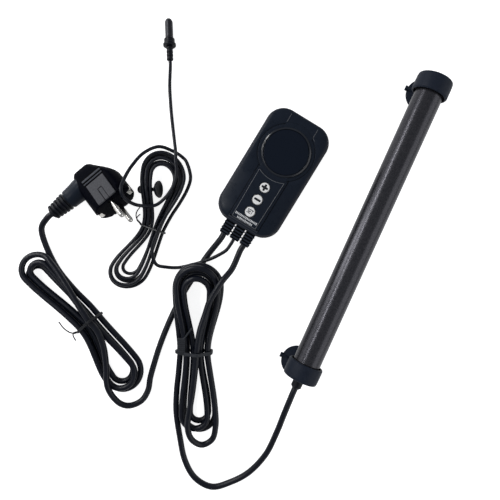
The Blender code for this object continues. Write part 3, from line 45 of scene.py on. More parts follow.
finishes = {
    # colour, second colour, roughness from and to, metal, size of the mottling and of the grain in mm,
    # depth of the grain in mm, specular
    "coatedSteel": ((0.034, 0.034, 0.041), (0.066, 0.065, 0.072), (0.23, 0.29), 0.80, (1.4, 0.60), 0.0045, 0.5),
    "probeSteel": ((0.018, 0.019, 0.024), (0.034, 0.034, 0.040), (0.28, 0.40), 0.6, (1.5, 0.3), 0.006, 0.5),
    "rubber": ((0.0085, 0.0125, 0.0225), (0.0135, 0.0185, 0.0310), (0.42, 0.55), 0.0, (3.0, 0.5), 0.016, 0.14),
    "ribRubber": ((0.0150, 0.0195, 0.0300), (0.0210, 0.0265, 0.0390), (0.45, 0.58), 0.0, (2.0, 0.4), 0.012, 0.10),
    "tieBand": ((0.0180, 0.0200, 0.0250), (0.0300, 0.0330, 0.0390), (0.40, 0.52), 0.0, (2.0, 0.3), 0.010, 0.25),
    "softRubber": ((0.0025, 0.0035, 0.0065), (0.0050, 0.0065, 0.0110), (0.34, 0.46), 0.0, (2.5, 0.5), 0.010, 0.20),
    "housing": ((0.0075, 0.0115, 0.0200), (0.0100, 0.0145, 0.0240), (0.27, 0.32), 0.0, (5.0, 0.40), 0.004, 0.14),
    "grip": ((0.040, 0.041, 0.048), (0.072, 0.073, 0.082), (0.50, 0.62), 0.0, (1.4, 0.38), 0.040, 0.20),
    # wall: the housing's plastic made about three times lighter, a painted sheen for the band of the leaning wall that
    # catches the light
    "wall": ((0.0280, 0.0300, 0.0390), (0.0380, 0.0400, 0.0500), (0.55, 0.65), 0.0, (3.0, 0.4), 0.010, 0.06),
    "plugBlack": ((0.0010, 0.0013, 0.0034), (0.0020, 0.0026, 0.0056), (0.42, 0.52), 0.0, (3.0, 0.4), 0.005, 0.015),
    # bar: lighter grey; on the strip's sloped end it is a painted sheen where the slope catches the light, on the plug
    # it colours the grip bars
    "bar": ((0.030, 0.034, 0.045), (0.042, 0.047, 0.060), (0.40, 0.50), 0.0, (2.0, 0.4), 0.010, 0.2),
    "lens": ((0.0052, 0.0085, 0.0160), (0.0056, 0.0090, 0.0170), (0.10, 0.13), 0.0, (9.0, 2.0), 0.0008, 0.12),
    "gloss": ((0.0060, 0.0085, 0.0145), (0.0075, 0.0100, 0.0165), (0.16, 0.22), 0.0, (6.0, 1.0), 0.002, 0.5),
    "key": ((0.82, 0.82, 0.81), (0.87, 0.87, 0.86), (0.38, 0.48), 0.0, (2.0, 0.3), 0.006, 0.3),
    "print": ((0.010, 0.012, 0.016), (0.018, 0.020, 0.024), (0.50, 0.60), 0.0, (1.0, 0.2), 0.002, 0.2),
    "softPrint": ((0.10, 0.10, 0.11), (0.14, 0.14, 0.15), (0.50, 0.60), 0.0, (1.0, 0.2), 0.002, 0.2),
    # edgeHighlightGrey: pale grey for the thin edge lines of the strips and the overlay, painted highlights
    "edgeHighlightGrey": ((0.130, 0.136, 0.150), (0.180, 0.186, 0.200), (0.40, 0.50), 0.0, (1.0, 0.2), 0.002, 0.3),
    "paleInk": ((0.60, 0.61, 0.62), (0.72, 0.72, 0.73), (0.50, 0.60), 0.0, (1.0, 0.2), 0.002, 0.2),
    "chrome": ((0.62, 0.60, 0.56), (0.74, 0.72, 0.68), (0.14, 0.22), 1.0, (3.0, 0.8), 0.001, 0.5),
    "cord": ((0.0010, 0.0021, 0.0062), (0.0026, 0.0042, 0.0104), (0.30, 0.38), 0.0, (6.0, 0.6), 0.006, 0.30),
    "wireTie": ((0.0040, 0.0050, 0.0070), (0.0080, 0.0090, 0.0120), (0.28, 0.40), 0.0, (2.0, 0.3), 0.006, 0.4),
    "ceramic": ((0.70, 0.68, 0.62), (0.80, 0.78, 0.72), (0.55, 0.70), 0.0, (3.0, 0.4), 0.010, 0.4),
    "winding": ((0.40, 0.37, 0.34), (0.50, 0.47, 0.43), (0.30, 0.40), 1.0, (1.0, 0.2), 0.004, 0.5),
    "board": ((0.012, 0.085, 0.035), (0.020, 0.120, 0.050), (0.35, 0.50), 0.0, (4.0, 0.6), 0.006, 0.4),
    # gap: near black that stands in for the shade in grooves and recesses, a painted shade
    "gap": ((0.0006, 0.0007, 0.0010), (0.0010, 0.0012, 0.0016), (0.7, 0.8), 0.0, (2.0, 0.4), 0.002, 0.05),
    "component": ((0.020, 0.021, 0.024), (0.030, 0.031, 0.034), (0.40, 0.55), 0.0, (2.0, 0.4), 0.006, 0.4),
    "relay": ((0.030, 0.100, 0.320), (0.040, 0.120, 0.360), (0.35, 0.45), 0.0, (3.0, 0.4), 0.004, 0.4),
}
mottling = {"fineShare": 0.6, "colour": (0.38, 0.62), "polish": (0.35, 0.65)}
made = {}


def finish(name):
    # colour mottled by a wide and a fine noise, roughness by the wide one, and a bump from the fine one,
    # all on the piece's own coordinates
    if name in made:
        return made[name]
    low, high, rough, metal, sizes, depth, specular = finishes[name]
    material = bpy.data.materials.new(name)
    material.use_nodes = True
    tree = material.node_tree
    new, link = tree.nodes.new, tree.links.new
    shader = tree.nodes["Principled BSDF"]
    shader.inputs["Metallic"].default_value = metal
    shader.inputs["Specular IOR Level"].default_value = specular
    place = new("ShaderNodeTexCoord")
    wide, fine = new("ShaderNodeTexNoise"), new("ShaderNodeTexNoise")
    for noise, size, detail in ((wide, sizes[0], 5.0), (fine, sizes[1], 2.0)):
        noise.inputs["Scale"].default_value = 1 / (size * mm)
        noise.inputs["Detail"].default_value = detail
        link(place.outputs["Object"], noise.inputs["Vector"])
    mix = new("ShaderNodeMix")
    mix.data_type = "RGBA"
    mix.inputs["A"].default_value = (*low, 1)
    mix.inputs["B"].default_value = (*high, 1)
    blend = new("ShaderNodeMath")
    blend.operation = "MULTIPLY_ADD"
    blend.inputs[1].default_value = mottling["fineShare"]
    link(fine.outputs["Fac"], blend.inputs[0])
    half = new("ShaderNodeMath")
    half.operation = "MULTIPLY"
    half.inputs[1].default_value = 1 - mottling["fineShare"]
    link(wide.outputs["Fac"], half.inputs[0])
    link(half.outputs[0], blend.inputs[2])
    spread = new("ShaderNodeMapRange")
    spread.inputs["From Min"].default_value, spread.inputs["From Max"].default_value = mottling["colour"]
    link(blend.outputs[0], spread.inputs["Value"])
    link(spread.outputs["Result"], mix.inputs["Factor"])
    link(mix.outputs["Result"], shader.inputs["Base Color"])
    polish = new("ShaderNodeMapRange")
    polish.inputs["From Min"].default_value, polish.inputs["From Max"].default_value = mottling["polish"]
    polish.inputs["To Min"].default_value, polish.inputs["To Max"].default_value = rough
    link(wide.outputs["Fac"], polish.inputs["Value"])
    link(polish.outputs["Result"], shader.inputs["Roughness"])
    bump = new("ShaderNodeBump")
    bump.inputs["Distance"].default_value = depth * mm
    link(fine.outputs["Fac"], bump.inputs["Height"])
    link(bump.outputs["Normal"], shader.inputs["Normal"])
    made[name] = material
    return material


# ---- surfaces; a part is (points, faces, smooth), in millimetres

def turnedAbout(axis, degrees):
    # rotation matrix about one of the three axes
    a = math.radians(degrees)
    c, s = math.cos(a), math.sin(a)
    m = np.eye(3)
    i, j = {"x": (1, 2), "y": (2, 0), "z": (0, 1)}[axis]
    m[i, i] = m[j, j] = c
    m[i, j], m[j, i] = -s, s
    return m


def placed(part, turn, shift=(0, 0, 0)):
    # every point turned, then moved
    points, faces, smooth = part
    return points @ turn.T + np.array(shift, float), faces, smooth


def gridPart(grid, across=True, along=False, ends=(True, True), smooth=True):
    # a grid of points joined cell by cell; across closes each row, along joins the last row to the first
    rows, cols = grid.shape[:2]
    index = np.arange(rows * cols).reshape(rows, cols)
    if across:
        index = np.hstack([index, index[:, :1]])
    if along:
        index = np.vstack([index, index[:1]])
    cells = np.stack([index[:-1, :-1], index[:-1, 1:], index[1:, 1:], index[1:, :-1]], -1)
    cells = cells.reshape(-1, 4).tolist()
    if across and not along:
        if ends[0]:
            cells.append(list(range(cols))[::-1])
        if ends[1]:
            cells.append(list(range((rows - 1) * cols, rows * cols)))
    return grid.reshape(-1, 3), cells, smooth


def softened(corners, radii, steps=5):
    # each corner of a line of (radius, height) pairs becomes an arc that touches both of its sides
    corners = np.array(corners, float)
    if np.isscalar(radii):
        radii = [radii] * len(corners)
    line = [corners[0]]
    for before, corner, after, radius in zip(corners, corners[1:], corners[2:], radii[1:]):
        one, two = before - corner, after - corner
        reach = min(np.linalg.norm(one), np.linalg.norm(two)) * 0.48
        one, two = one / np.linalg.norm(one), two / np.linalg.norm(two)
        half = math.acos(np.clip(one @ two, -1, 1)) / 2
        if radius <= 0 or half > 1.5:
            line.append(corner)
            continue
        back = min(radius / math.tan(half), reach)
        t = np.linspace(0, 1, steps + 1)[:, None]
        start, end = corner + one * back, corner + two * back
        line += list((1 - t) ** 2 * start + 2 * t * (1 - t) * corner + t ** 2 * end)
    line.append(corners[-1])
    return np.array(line)


def turnedPart(profile, steps=64, closed=False):
    # a line of (radius, height) pairs spun about Z: x = radius cos, y = radius sin, z = height
    profile = np.array(profile, float)
    angle = np.linspace(0, 2 * np.pi, steps, endpoint=False)
    radius, height = profile[:, :1], profile[:, 1:2]
    grid = np.stack([radius * np.cos(angle), radius * np.sin(angle), height + 0 * angle], -1)
    return gridPart(grid, along=closed)


def sweptPart(path, radius, sides=12, closed=False):
    # a circle carried along a path: path point + radius (side cos + rise sin), where side is square to the
    # slope and to a near upright, which keeps the circle from twisting
    path = np.array(path, float)
    slope = np.gradient(path, axis=0)
    slope /= np.linalg.norm(slope, axis=1)[:, None]
    side = np.cross(slope, np.array([0.21, 0.13, 1.0]))
    side /= np.linalg.norm(side, axis=1)[:, None]
    rise = np.cross(side, slope)
    angle = np.linspace(0, 2 * np.pi, sides, endpoint=False)[None, :, None]
    radius = np.broadcast_to(np.array(radius, float).reshape(-1, 1, 1), (len(path), 1, 1))
    ring = side[:, None] * np.cos(angle) + rise[:, None] * np.sin(angle)
    return gridPart(path[:, None] + radius * ring, along=closed)


def shrunk(outline, inset):
    # an outline moved inwards along its corners' halving lines
    outline = np.array(outline, float)
    back, ahead = np.roll(outline, 1, 0), np.roll(outline, -1, 0)
    one, two = outline - back, ahead - outline
    one /= np.linalg.norm(one, axis=1)[:, None]
    two /= np.linalg.norm(two, axis=1)[:, None]
    normal = np.stack([-(one + two)[:, 1], (one + two)[:, 0]], 1)
    normal /= np.linalg.norm(normal, axis=1)[:, None]
    share = np.clip(normal[:, 0] * -one[:, 1] + normal[:, 1] * one[:, 0], 0.35, 1)
    turning = np.sum(outline[:, 0] * ahead[:, 1] - ahead[:, 0] * outline[:, 1])
    return outline + np.sign(turning) * normal * (inset / share)[:, None]


def flatPart(outer, holes, z):
    # the flat between an outline and its holes, cut into triangles, of which those are kept whose middle
    # lies inside an odd number of loops
    loops = [np.array(outer, float)] + [np.array(h, float) for h in holes]
    points = np.vstack(loops)
    edges, start = [], 0
    for loop in loops:
        ring = np.arange(start, start + len(loop))
        edges += np.stack([ring, np.roll(ring, -1)], 1).tolist()
        start += len(loop)
    spots, _, faces, *_ = delaunay_2d_cdt([tuple(p) for p in points], edges, [], 0, 1e-6)
    spots = np.array([tuple(p) for p in spots])
    faces = np.array(faces)
    middle = spots[faces].mean(1)
    inside = np.zeros(len(middle), int)
    for loop in loops:
        a, b = loop, np.roll(loop, -1, 0)
        spans = (a[None, :, 1] > middle[:, None, 1]) != (b[None, :, 1] > middle[:, None, 1])
        rise = np.where(b[:, 1] == a[:, 1], 1e-12, b[:, 1] - a[:, 1])
        meets = (b[:, 0] - a[:, 0])[None] * (middle[:, None, 1] - a[None, :, 1]) / rise[None] + a[None, :, 0]
        inside += (spans & (middle[:, None, 0] < meets)).sum(1)
    flat = np.column_stack([spots, np.full(len(spots), float(z))])
    return flat, faces[inside % 2 == 1].tolist(), False


def wallPart(rows):
    # walls between outlines of one count: each row is (outline, height)
    grid = np.stack([np.column_stack([outline, np.full(len(outline), float(z))]) for outline, z in rows])
    return gridPart(grid, ends=(False, False))


def slabParts(outer, holes, low, high, edge=0.3, holeEdge=0.1):
    # a plate with a rounded upper edge and holes through it
    curve = [(edge * (1 - math.cos(a)), high - edge * (1 - math.sin(a))) for a in np.linspace(0, np.pi / 2, 5)]
    rows = [(outer, low)] + [(shrunk(outer, inset), z) for inset, z in curve]
    wider = [shrunk(hole, -holeEdge) for hole in holes]
    parts = [wallPart(rows), flatPart(rows[-1][0], wider, high), flatPart(outer, holes, low)]
    for hole in holes:
        parts.append(wallPart([(hole, low), (hole, high - holeEdge), (shrunk(hole, -holeEdge), high)]))
    return parts


def circle(radius, x=0.0, y=0.0, count=48):
    a = np.linspace(0, 2 * np.pi, count, endpoint=False)
    return np.stack([x + radius * np.cos(a), y + radius * np.sin(a)], 1)


def evenOutline(outline, step):
    # even points along a closed outline
    line = np.vstack([outline, outline[:1]])
    along = np.concatenate([[0], np.cumsum(np.linalg.norm(np.diff(line, axis=0), axis=1))])
    spots = np.linspace(0, along[-1], int(along[-1] / step), endpoint=False)
    return np.stack([np.interp(spots, along, line[:, k]) for k in (0, 1)], 1)


def roundedBox(width, length, corner, step=0.5, x=0.0, y=0.0):
    # quarter circles joined by straight sides, read at even steps along the outline
    a = np.linspace(0, np.pi / 2, 40)
    quarter = np.stack([np.cos(a), np.sin(a)], 1) * corner
    line = []
    for k, (sx, sy) in enumerate(((1, 1), (-1, 1), (-1, -1), (1, -1))):
        turn = turnedAbout("z", 90 * k)[:2, :2]
        line.append(quarter @ turn.T + [x + sx * (width / 2 - corner), y + sy * (length / 2 - corner)])
    return evenOutline(np.vstack(line), step)


def piece(name, parts, look, body="base", replaces=(), sharp=38):
    # parts joined in one mesh, doubles merged, faces turned outwards
    mesh = bpy.data.meshes.new(name)
    points, faces, flats, start = [], [], [], 0
    for spots, cells, smooth in parts:
        points.append(np.asarray(spots) * mm)
        faces += [[i + start for i in cell] for cell in cells]
        flats += [smooth] * len(cells)
        start += len(spots)
    mesh.from_pydata(np.vstack(points).tolist(), [], faces)
    mesh.polygons.foreach_set("use_smooth", flats)
    form = bmesh.new()
    form.from_mesh(mesh)
    bmesh.ops.remove_doubles(form, verts=form.verts, dist=2e-7)
    bmesh.ops.dissolve_degenerate(form, edges=form.edges, dist=1e-8)
    bmesh.ops.recalc_face_normals(form, faces=form.faces)
    form.to_mesh(mesh)
    form.free()
    mesh.set_sharp_from_angle(angle=math.radians(sharp))
    mesh.materials.append(finish(look))
    item = bpy.data.objects.new(name, mesh)
    bpy.context.scene.collection.objects.link(item)
    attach(item, body)
    if replaces:
        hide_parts(*replaces)
    return item


# ---- camera, floor and light

# turn in degrees, places in mm, focal length and picture width in pixels
photoView = {"turn": 24.2, "shift": (29.6, 57.4), "eye": (4.7, 10.8, 474.0), "focal": 504.0, "pixels": 500}


def setCamera():
    # the camera looks from the eye to the middle of the sheet, with the sheet turned under it
    eye = np.array(photoView["eye"])
    ahead = -eye / np.linalg.norm(eye)
    right = np.cross(ahead, [0, 1, 0])
    right /= np.linalg.norm(right)
    up = np.cross(right, ahead)
    turn = turnedAbout("z", photoView["turn"])
    axes = turn @ np.stack([right, up, -ahead], 1)
    spot = turn @ eye - np.array([*photoView["shift"], 0])
    lens = bpy.data.cameras.new("camera")
    lens.sensor_width = 36
    lens.lens = photoView["focal"] / photoView["pixels"] * lens.sensor_width
    lens.clip_start, lens.clip_end = 0.01, 20
    camera = bpy.data.objects.new("camera", lens)
    bpy.context.scene.collection.objects.link(camera)
    matrix = np.eye(4)
    matrix[:3, :3] = axes
    matrix[:3, 3] = spot * mm
    camera.matrix_world = Matrix(matrix.tolist())
    bpy.context.scene.camera = camera


setCamera()
print("camera set")


# size and height in metres
floorLook = {"size": 3.0, "height": -0.00005, "white": (0.80, 0.80, 0.80), "glow": 0.85, "mirrored": 0.30}


def setFloor():
    # one wide sheet a hair below the piece; its glow is for the eye and for reflections only, so it keeps the shadows
    half, z = floorLook["size"] / 2, floorLook["height"]
    mesh = bpy.data.meshes.new("floor")
    mesh.from_pydata([(-half, -half, z), (half, -half, z), (half, half, z), (-half, half, z)], [], [(0, 1, 2, 3)])
    floor = bpy.data.objects.new("floor", mesh)
    bpy.context.scene.collection.objects.link(floor)
    material = bpy.data.materials.new("floor")
    material.use_nodes = True
    tree = material.node_tree
    new, link = tree.nodes.new, tree.links.new
    shader = tree.nodes["Principled BSDF"]
    shader.inputs["Base Color"].default_value = (*floorLook["white"], 1)
    shader.inputs["Roughness"].default_value = 0.9
    shader.inputs["Specular IOR Level"].default_value = 0.1
    shader.inputs["Emission Color"].default_value = (1, 1, 1, 1)
    rays = new("ShaderNodeLightPath")
    seen = new("ShaderNodeMath")
    seen.operation = "MAXIMUM"
    link(rays.outputs["Is Camera Ray"], seen.inputs[0])
    link(rays.outputs["Is Transmission Ray"], seen.inputs[1])
    mirrored, glow = new("ShaderNodeMath"), new("ShaderNodeMath")
    mirrored.operation, glow.operation = "MULTIPLY", "MULTIPLY_ADD"
    mirrored.inputs[1].default_value = floorLook["mirrored"]
    link(rays.outputs["Is Glossy Ray"], mirrored.inputs[0])
    glow.inputs[1].default_value = floorLook["glow"]
    link(seen.outputs[0], glow.inputs[0])
    link(mirrored.outputs[0], glow.inputs[2])
    link(glow.outputs[0], shader.inputs["Emission Strength"])
    mesh.materials.append(material)


lamps = {
    # place and aim in mm, the way that the long side runs, size in mm, power in watts
    "strip": ((-735, 69, 725), (58, 0, 25), (491, -600, 0), (60, 1050), 3.9),
    "window": ((-960, 40, 330), (58, 0, 25), (0, 0, 1), (210, 420), 1.5),
    "leftPanel": ((-1150, 0, 520), (0, 0, 0), (0, 1, 0), (620, 1700), 3.0),
    "rightPanel": ((1120, 0, 600), (58, 0, 25), (0, 1, 0), (900, 1900), 5.2),
}
sky = {"grey": (0.30, 0.31, 0.33), "seen": (1, 1, 1)}


def setLight():
    # area lamps and a grey sky that the camera sees as white
    for name, (spot, aim, run, size, power) in lamps.items():
        light = bpy.data.lights.new(name, "AREA")
        light.shape = "RECTANGLE"
        light.size, light.size_y = size[0] * mm, size[1] * mm
        light.energy = power
        lamp = bpy.data.objects.new(name, light)
        bpy.context.scene.collection.objects.link(lamp)
        back = np.array(spot, float) - aim
        back /= np.linalg.norm(back)
        along = np.array(run, float) - back * (back @ run)
        along /= np.linalg.norm(along)
        matrix = np.eye(4)
        matrix[:3, :3] = np.stack([np.cross(along, back), along, back], 1)
        matrix[:3, 3] = np.array(spot) * mm
        lamp.matrix_world = Matrix(matrix.tolist())
    world = bpy.data.worlds.new("world")
    bpy.context.scene.world = world
    world.use_nodes = True
    tree = world.node_tree
    new, link = tree.nodes.new, tree.links.new
    shader = tree.nodes["Background"]
    rays, pick = new("ShaderNodeLightPath"), new("ShaderNodeMix")
    pick.data_type = "RGBA"
    pick.inputs["A"].default_value = (*sky["grey"], 1)
    pick.inputs["B"].default_value = (*sky["seen"], 1)
    link(rays.outputs["Is Camera Ray"], pick.inputs["Factor"])
    link(pick.outputs["Result"], shader.inputs["Color"])
    bpy.context.scene.view_settings.view_transform = "Standard"


setFloor()
setLight()
print("floor and light set")


# ---- cords

def smoothLine(knots, step):
    # a curve through the knots whose slope at each is half the way between its neighbours, read at even steps
    p = np.asarray(knots, float)
    p = np.vstack([2 * p[0] - p[1], p, 2 * p[-1] - p[-2]])
    t = np.linspace(0, 1, 24, endpoint=False)[None, :, None]
    a, b, c, d = (p[i:len(p) - 3 + i, None] for i in range(4))
    fine = 0.5 * (2 * b + (c - a) * t + (2 * a - 5 * b + 4 * c - d) * t ** 2 + (3 * b - a - 3 * c + d) * t ** 3)
    fine = np.vstack([fine.reshape(-1, 3), p[-2:-1]])
    along = np.concatenate([[0], np.cumsum(np.linalg.norm(np.diff(fine, axis=0), axis=1))])
    spots = np.linspace(0, along[-1], round(along[-1] / step) + 1)
    return np.stack([np.interp(spots, along, fine[:, k]) for k in range(3)], 1)


# waist in mm, axis in degrees; each end is (reach, half width); each half turn is (longer, wider, sideways);
# a lift is a line from x, y to x, y with the width and the rise of its bell
mainsHank = {"waist": (-138.6, -181.4), "axis": 154.5, "diameter": 5.6, "gap": 0.8, "turns": 3, "turnBack": 1.5,
             "upper": (84.5, 16.1), "lower": (72, 19), "bow": -0.04, "entry": True,
             "halves": [(0, 0.2, -1.5), (1, 0, -5), (-2, 0.8, -1.2), (0, 0, -5), (-3, -1.9, -5.3), (1, 0, -5)],
             "lifts": [(-132, -184.4, -145, -178.4, 25, 2.0)]}
heaterHank = {"waist": (-37, -164.4), "axis": 114.2, "diameter": 5.6, "gap": 0.8, "turns": 3.5, "turnBack": 1.5,
              "upper": (81, 21), "lower": (76.5, 17), "bow": 0, "entry": False,
              "halves": [(0, -0.6, 1.5), (0, 0, 0), (-3, -0.7, 1.2), (-2, 0, 2), (-1, -1.2, 3.2), (0, -0.5, 2),
                         (0, -1.7, 3.5), (0, 0, 0)],
              "lifts": [(-66, -84.4, -71, -142.4, 30, 6.6), (-70, -86.4, -63, -82.4, 22, 4.2),
                        (-34, -165.4, -40, -163.4, 22, 2.4)]}
sensorHank = {"waist": (-121, -76.4), "axis": 93.6, "diameter": 3.2, "gap": 0.5, "turns": 5, "turnBack": 2.5,
              "upper": (71, 21), "lower": (62, 17.5), "bow": -0.183, "entry": True,
              "halves": [(0, 0, 0), (0, 0, -2), (-1, -0.3, 0), (-2, -0.6, -2), (-2, -1.0, 0), (-4, -1.6, -2),
                         (-2, -0.5, 0), (-1.5, -0.2, -2), (0, 0, 0), (0, 0.3, -2)],
              "lifts": [(-150, -48.4, -130, -38.4, 30, 7.7), (-121, -78.4, -121, -72.4, 20, 0.6)]}


def hankAxes(hank):
    # unit vectors along the hank and to its right
    a = math.radians(hank["axis"])
    return np.array([math.cos(a), math.sin(a)]), np.array([math.sin(a), -math.cos(a)])


def onHank(hank, across, along, level):
    # across and along the hank's axis, bent sideways by bow (sqrt(along^2 + 15^2) - 15), and raised by
    # bells rise exp(-(distance / wide)^2) over what lies below
    ahead, right = hankAxes(hank)
    across, along, level = np.broadcast_arrays(*np.atleast_1d(across, along, level))
    bent = across + hank["bow"] * (np.hypot(along, 15) - 15)
    flat = np.array(hank["waist"]) + right * bent[:, None] + ahead * along[:, None]
    height = hank["diameter"] / 2 + (hank["diameter"] + hank["gap"]) * level
    for x, y, x2, y2, wide, rise in hank["lifts"]:
        start, span = np.array([x, y]), np.array([x2 - x, y2 - y])
        share = np.clip((flat - start) @ span / (span @ span), 0, 1)
        away = np.linalg.norm(flat - start - span * share[:, None], axis=1) / wide
        height = height + rise * np.exp(-away * away)
    return np.column_stack([flat, height])


def hankLoops(hank, turn):
    # half a turn is a run out, a round bend and a run back; each turn lies one pitch inside the last on the
    # upper layer, then comes down and spirals out again; every half turn has its own small change of reach,
    # of width and sideways, none of it at the waist
    turn = np.atleast_1d(np.asarray(turn, float))
    pitch = hank["diameter"] + hank["gap"]
    inset = pitch * np.minimum(turn, 2 * hank["turnBack"] - turn)
    half = np.floor(turn * 2)
    part, odd = turn * 2 - half, half % 2 == 1
    row = np.clip(half, 0, len(hank["halves"]) - 1).astype(int)
    longer, wider, aside = np.array(hank["halves"], float)[row].T
    reach = np.where(odd, hank["lower"][0], hank["upper"][0])
    width = np.where(odd, hank["lower"][1], hank["upper"][1])
    radius, centre = width + wider - 1.05 * inset, reach - width + longer
    neck = (hank["turnBack"] + 0.25) * pitch - inset
    angle = (part - 0.25) * 2 * np.pi
    ahead = np.minimum(part, 1 - part) * 4
    ease = np.minimum(ahead, 1) ** 2 * (3 - 2 * np.minimum(ahead, 1))
    run = (neck + (radius - neck) * ease) * np.where(part < 0.5, 1, -1)
    bend = (part > 0.25) & (part < 0.75)
    across = np.where(bend, radius * np.cos(angle), run) * np.where(odd, -1, 1)
    across = across + aside * ease
    along = np.where(bend, centre + radius * np.sin(angle), centre * ahead) * np.where(odd, -1, 1)
    climb = np.clip((turn - hank["turnBack"]) * 2 + 0.5, 0, 1)
    level = 1 - climb * climb * (3 - 2 * climb)
    if hank["entry"]:
        # the cord starts on top of its second turn and rolls off beside it
        rolledOff = 0.16
        roll = np.clip(turn / rolledOff, 0, 1) * np.pi / 2
        first = turn < rolledOff
        across = across - np.where(first, pitch * (1 - np.sin(roll)), 0)
        level = level + np.where(first, np.cos(roll), 0)
    return onHank(hank, across, along, level)


def wholeCord(hank, before, after, step):
    # a lead, the loops and a tail on one smooth curve
    loops = hankLoops(hank, np.arange(0, hank["turns"] + 1e-6, 1 / 48))
    ends = []
    for end, turn in ((loops[0], -1 / 24), (loops[-1], hank["turns"] + 1 / 24)):
        out = hankLoops(hank, turn)[0] - end
        ends.append(end + out / np.linalg.norm(out) * hank["diameter"])
    lead = smoothLine(np.vstack([before, ends[0], loops[:2]]), step)
    tail = smoothLine(np.vstack([loops[-2:], ends[1], after]), step)
    middle = smoothLine(loops, step)
    lead = lead[: np.argmin(np.linalg.norm(lead - loops[0], axis=1))]
    tail = tail[np.argmin(np.linalg.norm(tail - loops[-1], axis=1)) + 1:]
    return np.vstack([lead, middle, tail])


thermostatPlace = {"x": -38.5, "y": 15.5, "turn": -7.2}
plugPlace = {"x": -157.0, "y": -68.4, "heading": -26.0, "rim": 19.7, "rimDepth": 6.5, "back": 36.0,
             "backHalf": 12.0}
probePlace = {"x": -168.0, "y": 71.6, "heading": 117.0, "collarAt": 15.7, "tipAt": 35.9, "collar": 5.9,
              "capsule": 3.6, "clear": 0.1}
clipPlace = {"x": -142.6, "y": -46.4, "heading": 24.0, "rise": 14.0, "cup": 8.0, "reach": 15.5, "clear": 0.2}
heaterPlace = {"x": 58.0, "y": -2.4, "z": 25.0, "end": 150.6}

boxTurn = turnedAbout("z", thermostatPlace["turn"])
boxSpot = np.array([thermostatPlace["x"], thermostatPlace["y"], 0])

# the plug lies on the back edge of its rim and on its back
plugSlope = math.atan((plugPlace["rim"] - plugPlace["backHalf"]) / (plugPlace["back"] - plugPlace["rimDepth"]))
pinsAhead = np.array([[0, 0, 1], [0, 1, 0], [-1, 0, 0.0]])
plugTurn = turnedAbout("z", plugPlace["heading"]) @ turnedAbout("y", -math.degrees(plugSlope)) @ pinsAhead
plugHeight = plugPlace["rim"] * math.cos(plugSlope) + plugPlace["rimDepth"] * math.sin(plugSlope)
plugSpot = np.array([plugPlace["x"], plugPlace["y"], plugHeight])

# the probe lies on its collar and its tip
probeDrop = math.atan((probePlace["collar"] - probePlace["capsule"])
                      / (probePlace["tipAt"] - probePlace["collarAt"]))
probeTurn = turnedAbout("z", probePlace["heading"]) @ turnedAbout("y", 90 + math.degrees(probeDrop))
probeHeight = probePlace["collarAt"] * math.sin(probeDrop) + probePlace["collar"] * math.cos(probeDrop)
probeSpot = np.array([probePlace["x"], probePlace["y"], probeHeight + probePlace["clear"]])

# the clip's cup lies on its side, its rim raised
clipRise = math.radians(clipPlace["rise"])
clipTurn = turnedAbout("z", clipPlace["heading"]) @ turnedAbout("y", 90 - clipPlace["rise"])
clipHeight = clipPlace["cup"] * math.cos(clipRise) - clipPlace["reach"] * math.sin(clipRise)
clipSpot = np.array([clipPlace["x"], clipPlace["y"], clipHeight + clipPlace["clear"]])


def outlet(turn, spot, place, direction):
    # two points square to the face that a cord leaves
    start = turn @ np.array(place, float) + spot
    ahead = turn @ (np.array(direction, float) / np.linalg.norm(direction))
    return np.array([start - 0.4 * ahead, start + 6.3 * ahead])


def local(hank, *spots):
    # points given as (across, along, level) on a hank
    spots = np.array(spots, float)
    return onHank(hank, spots[:, 0], spots[:, 1], spots[:, 2])


reliefShape = {"pitch": 10.6, "end": -70.6, "middle": 9.8, "width": 10.3, "height": 9.2, "corner": 1.4,
               "ribs": 4, "firstRib": -59.0, "ribPitch": 2.85}
reliefEnd = {word: (step * reliefShape["pitch"], reliefShape["end"], reliefShape["middle"])
             for word, step in (("mains", -1), ("sensor", 0), ("heater", 1))}
flatPlace = np.eye(3)
pathSteps = {"mains": 2.4, "heater": 2.4, "sensor": 1.3}  # mm between a cord's points

mainsPath = wholeCord(
    mainsHank,
    np.vstack([outlet(boxTurn, boxSpot, reliefEnd["mains"], (0, -1, -0.1)),
               [(-64, -79.4, 4.0), (-67, -98.4, 3), (-70, -119.4, 3), (-71, -138.4, 3), (-71, -157.4, 3),
                (-70, -175.4, 3), (-68, -192.4, 3), (-66, -205.4, 3), (-63, -217.4, 3.5), (-64.8, -228.6, 5),
                (-73.6, -236.4, 8), (-84.6, -235.4, 11.5)],
               local(mainsHank, (-20, -56, 2.05), (-9, -41, 2.08), (0, -27, 2.1), (4.4, -15, 2))]),
    np.vstack([local(mainsHank, (11.2, 14, 0.02), (10.0, 34, 0.02), (11.4, 58, 0.02)),
               [(-203.8, -133.6, 4), (-214.6, -119, 6.5)],
               outlet(plugTurn, plugSpot, (0, -52.2, -33.4), (0, -1, 0))[::-1]]), pathSteps["mains"])
heaterPath = wholeCord(
    heaterHank,
    np.vstack([outlet(boxTurn, boxSpot, reliefEnd["heater"], (0, -1, 0)), [(-37.5, -79.4, 15)],
               local(heaterHank, (25, 66, 2.05), (15, 50, 2.05), (10, 36, 2.05), (5, 20, 2.1), (2.2, 0, 2.1),
                     (0.5, -17, 2.1), (-2, -36, 2.1), (-5, -54, 2.1), (-6.5, -68, 2.1), (-3, -80, 1.7),
                     (6, -87, 0.9), (15.5, -82, 0.7), (18.6, -70, 0.95)),
               hankLoops(heaterHank, [-0.125, -0.0833])]),
    np.vstack([local(heaterHank, (-16.4, -20, 0.02), (-18.4, -38, 0.02), (-18.9, -58, 0.02)),
               [(-17.6, -245.5, 3), (-4.6, -263.4, 3), (11, -275, 3), (29, -276.4, 3), (43, -265.4, 3),
                (55, -248.4, 5), (61.5, -224.4, 10), (61, -199.4, 17), (59, -178.4, 23)],
               outlet(flatPlace, 0, (heaterPlace["x"], heaterPlace["y"] - heaterPlace["end"], heaterPlace["z"]),
                      (0, -1, 0))[::-1]]), pathSteps["heater"])
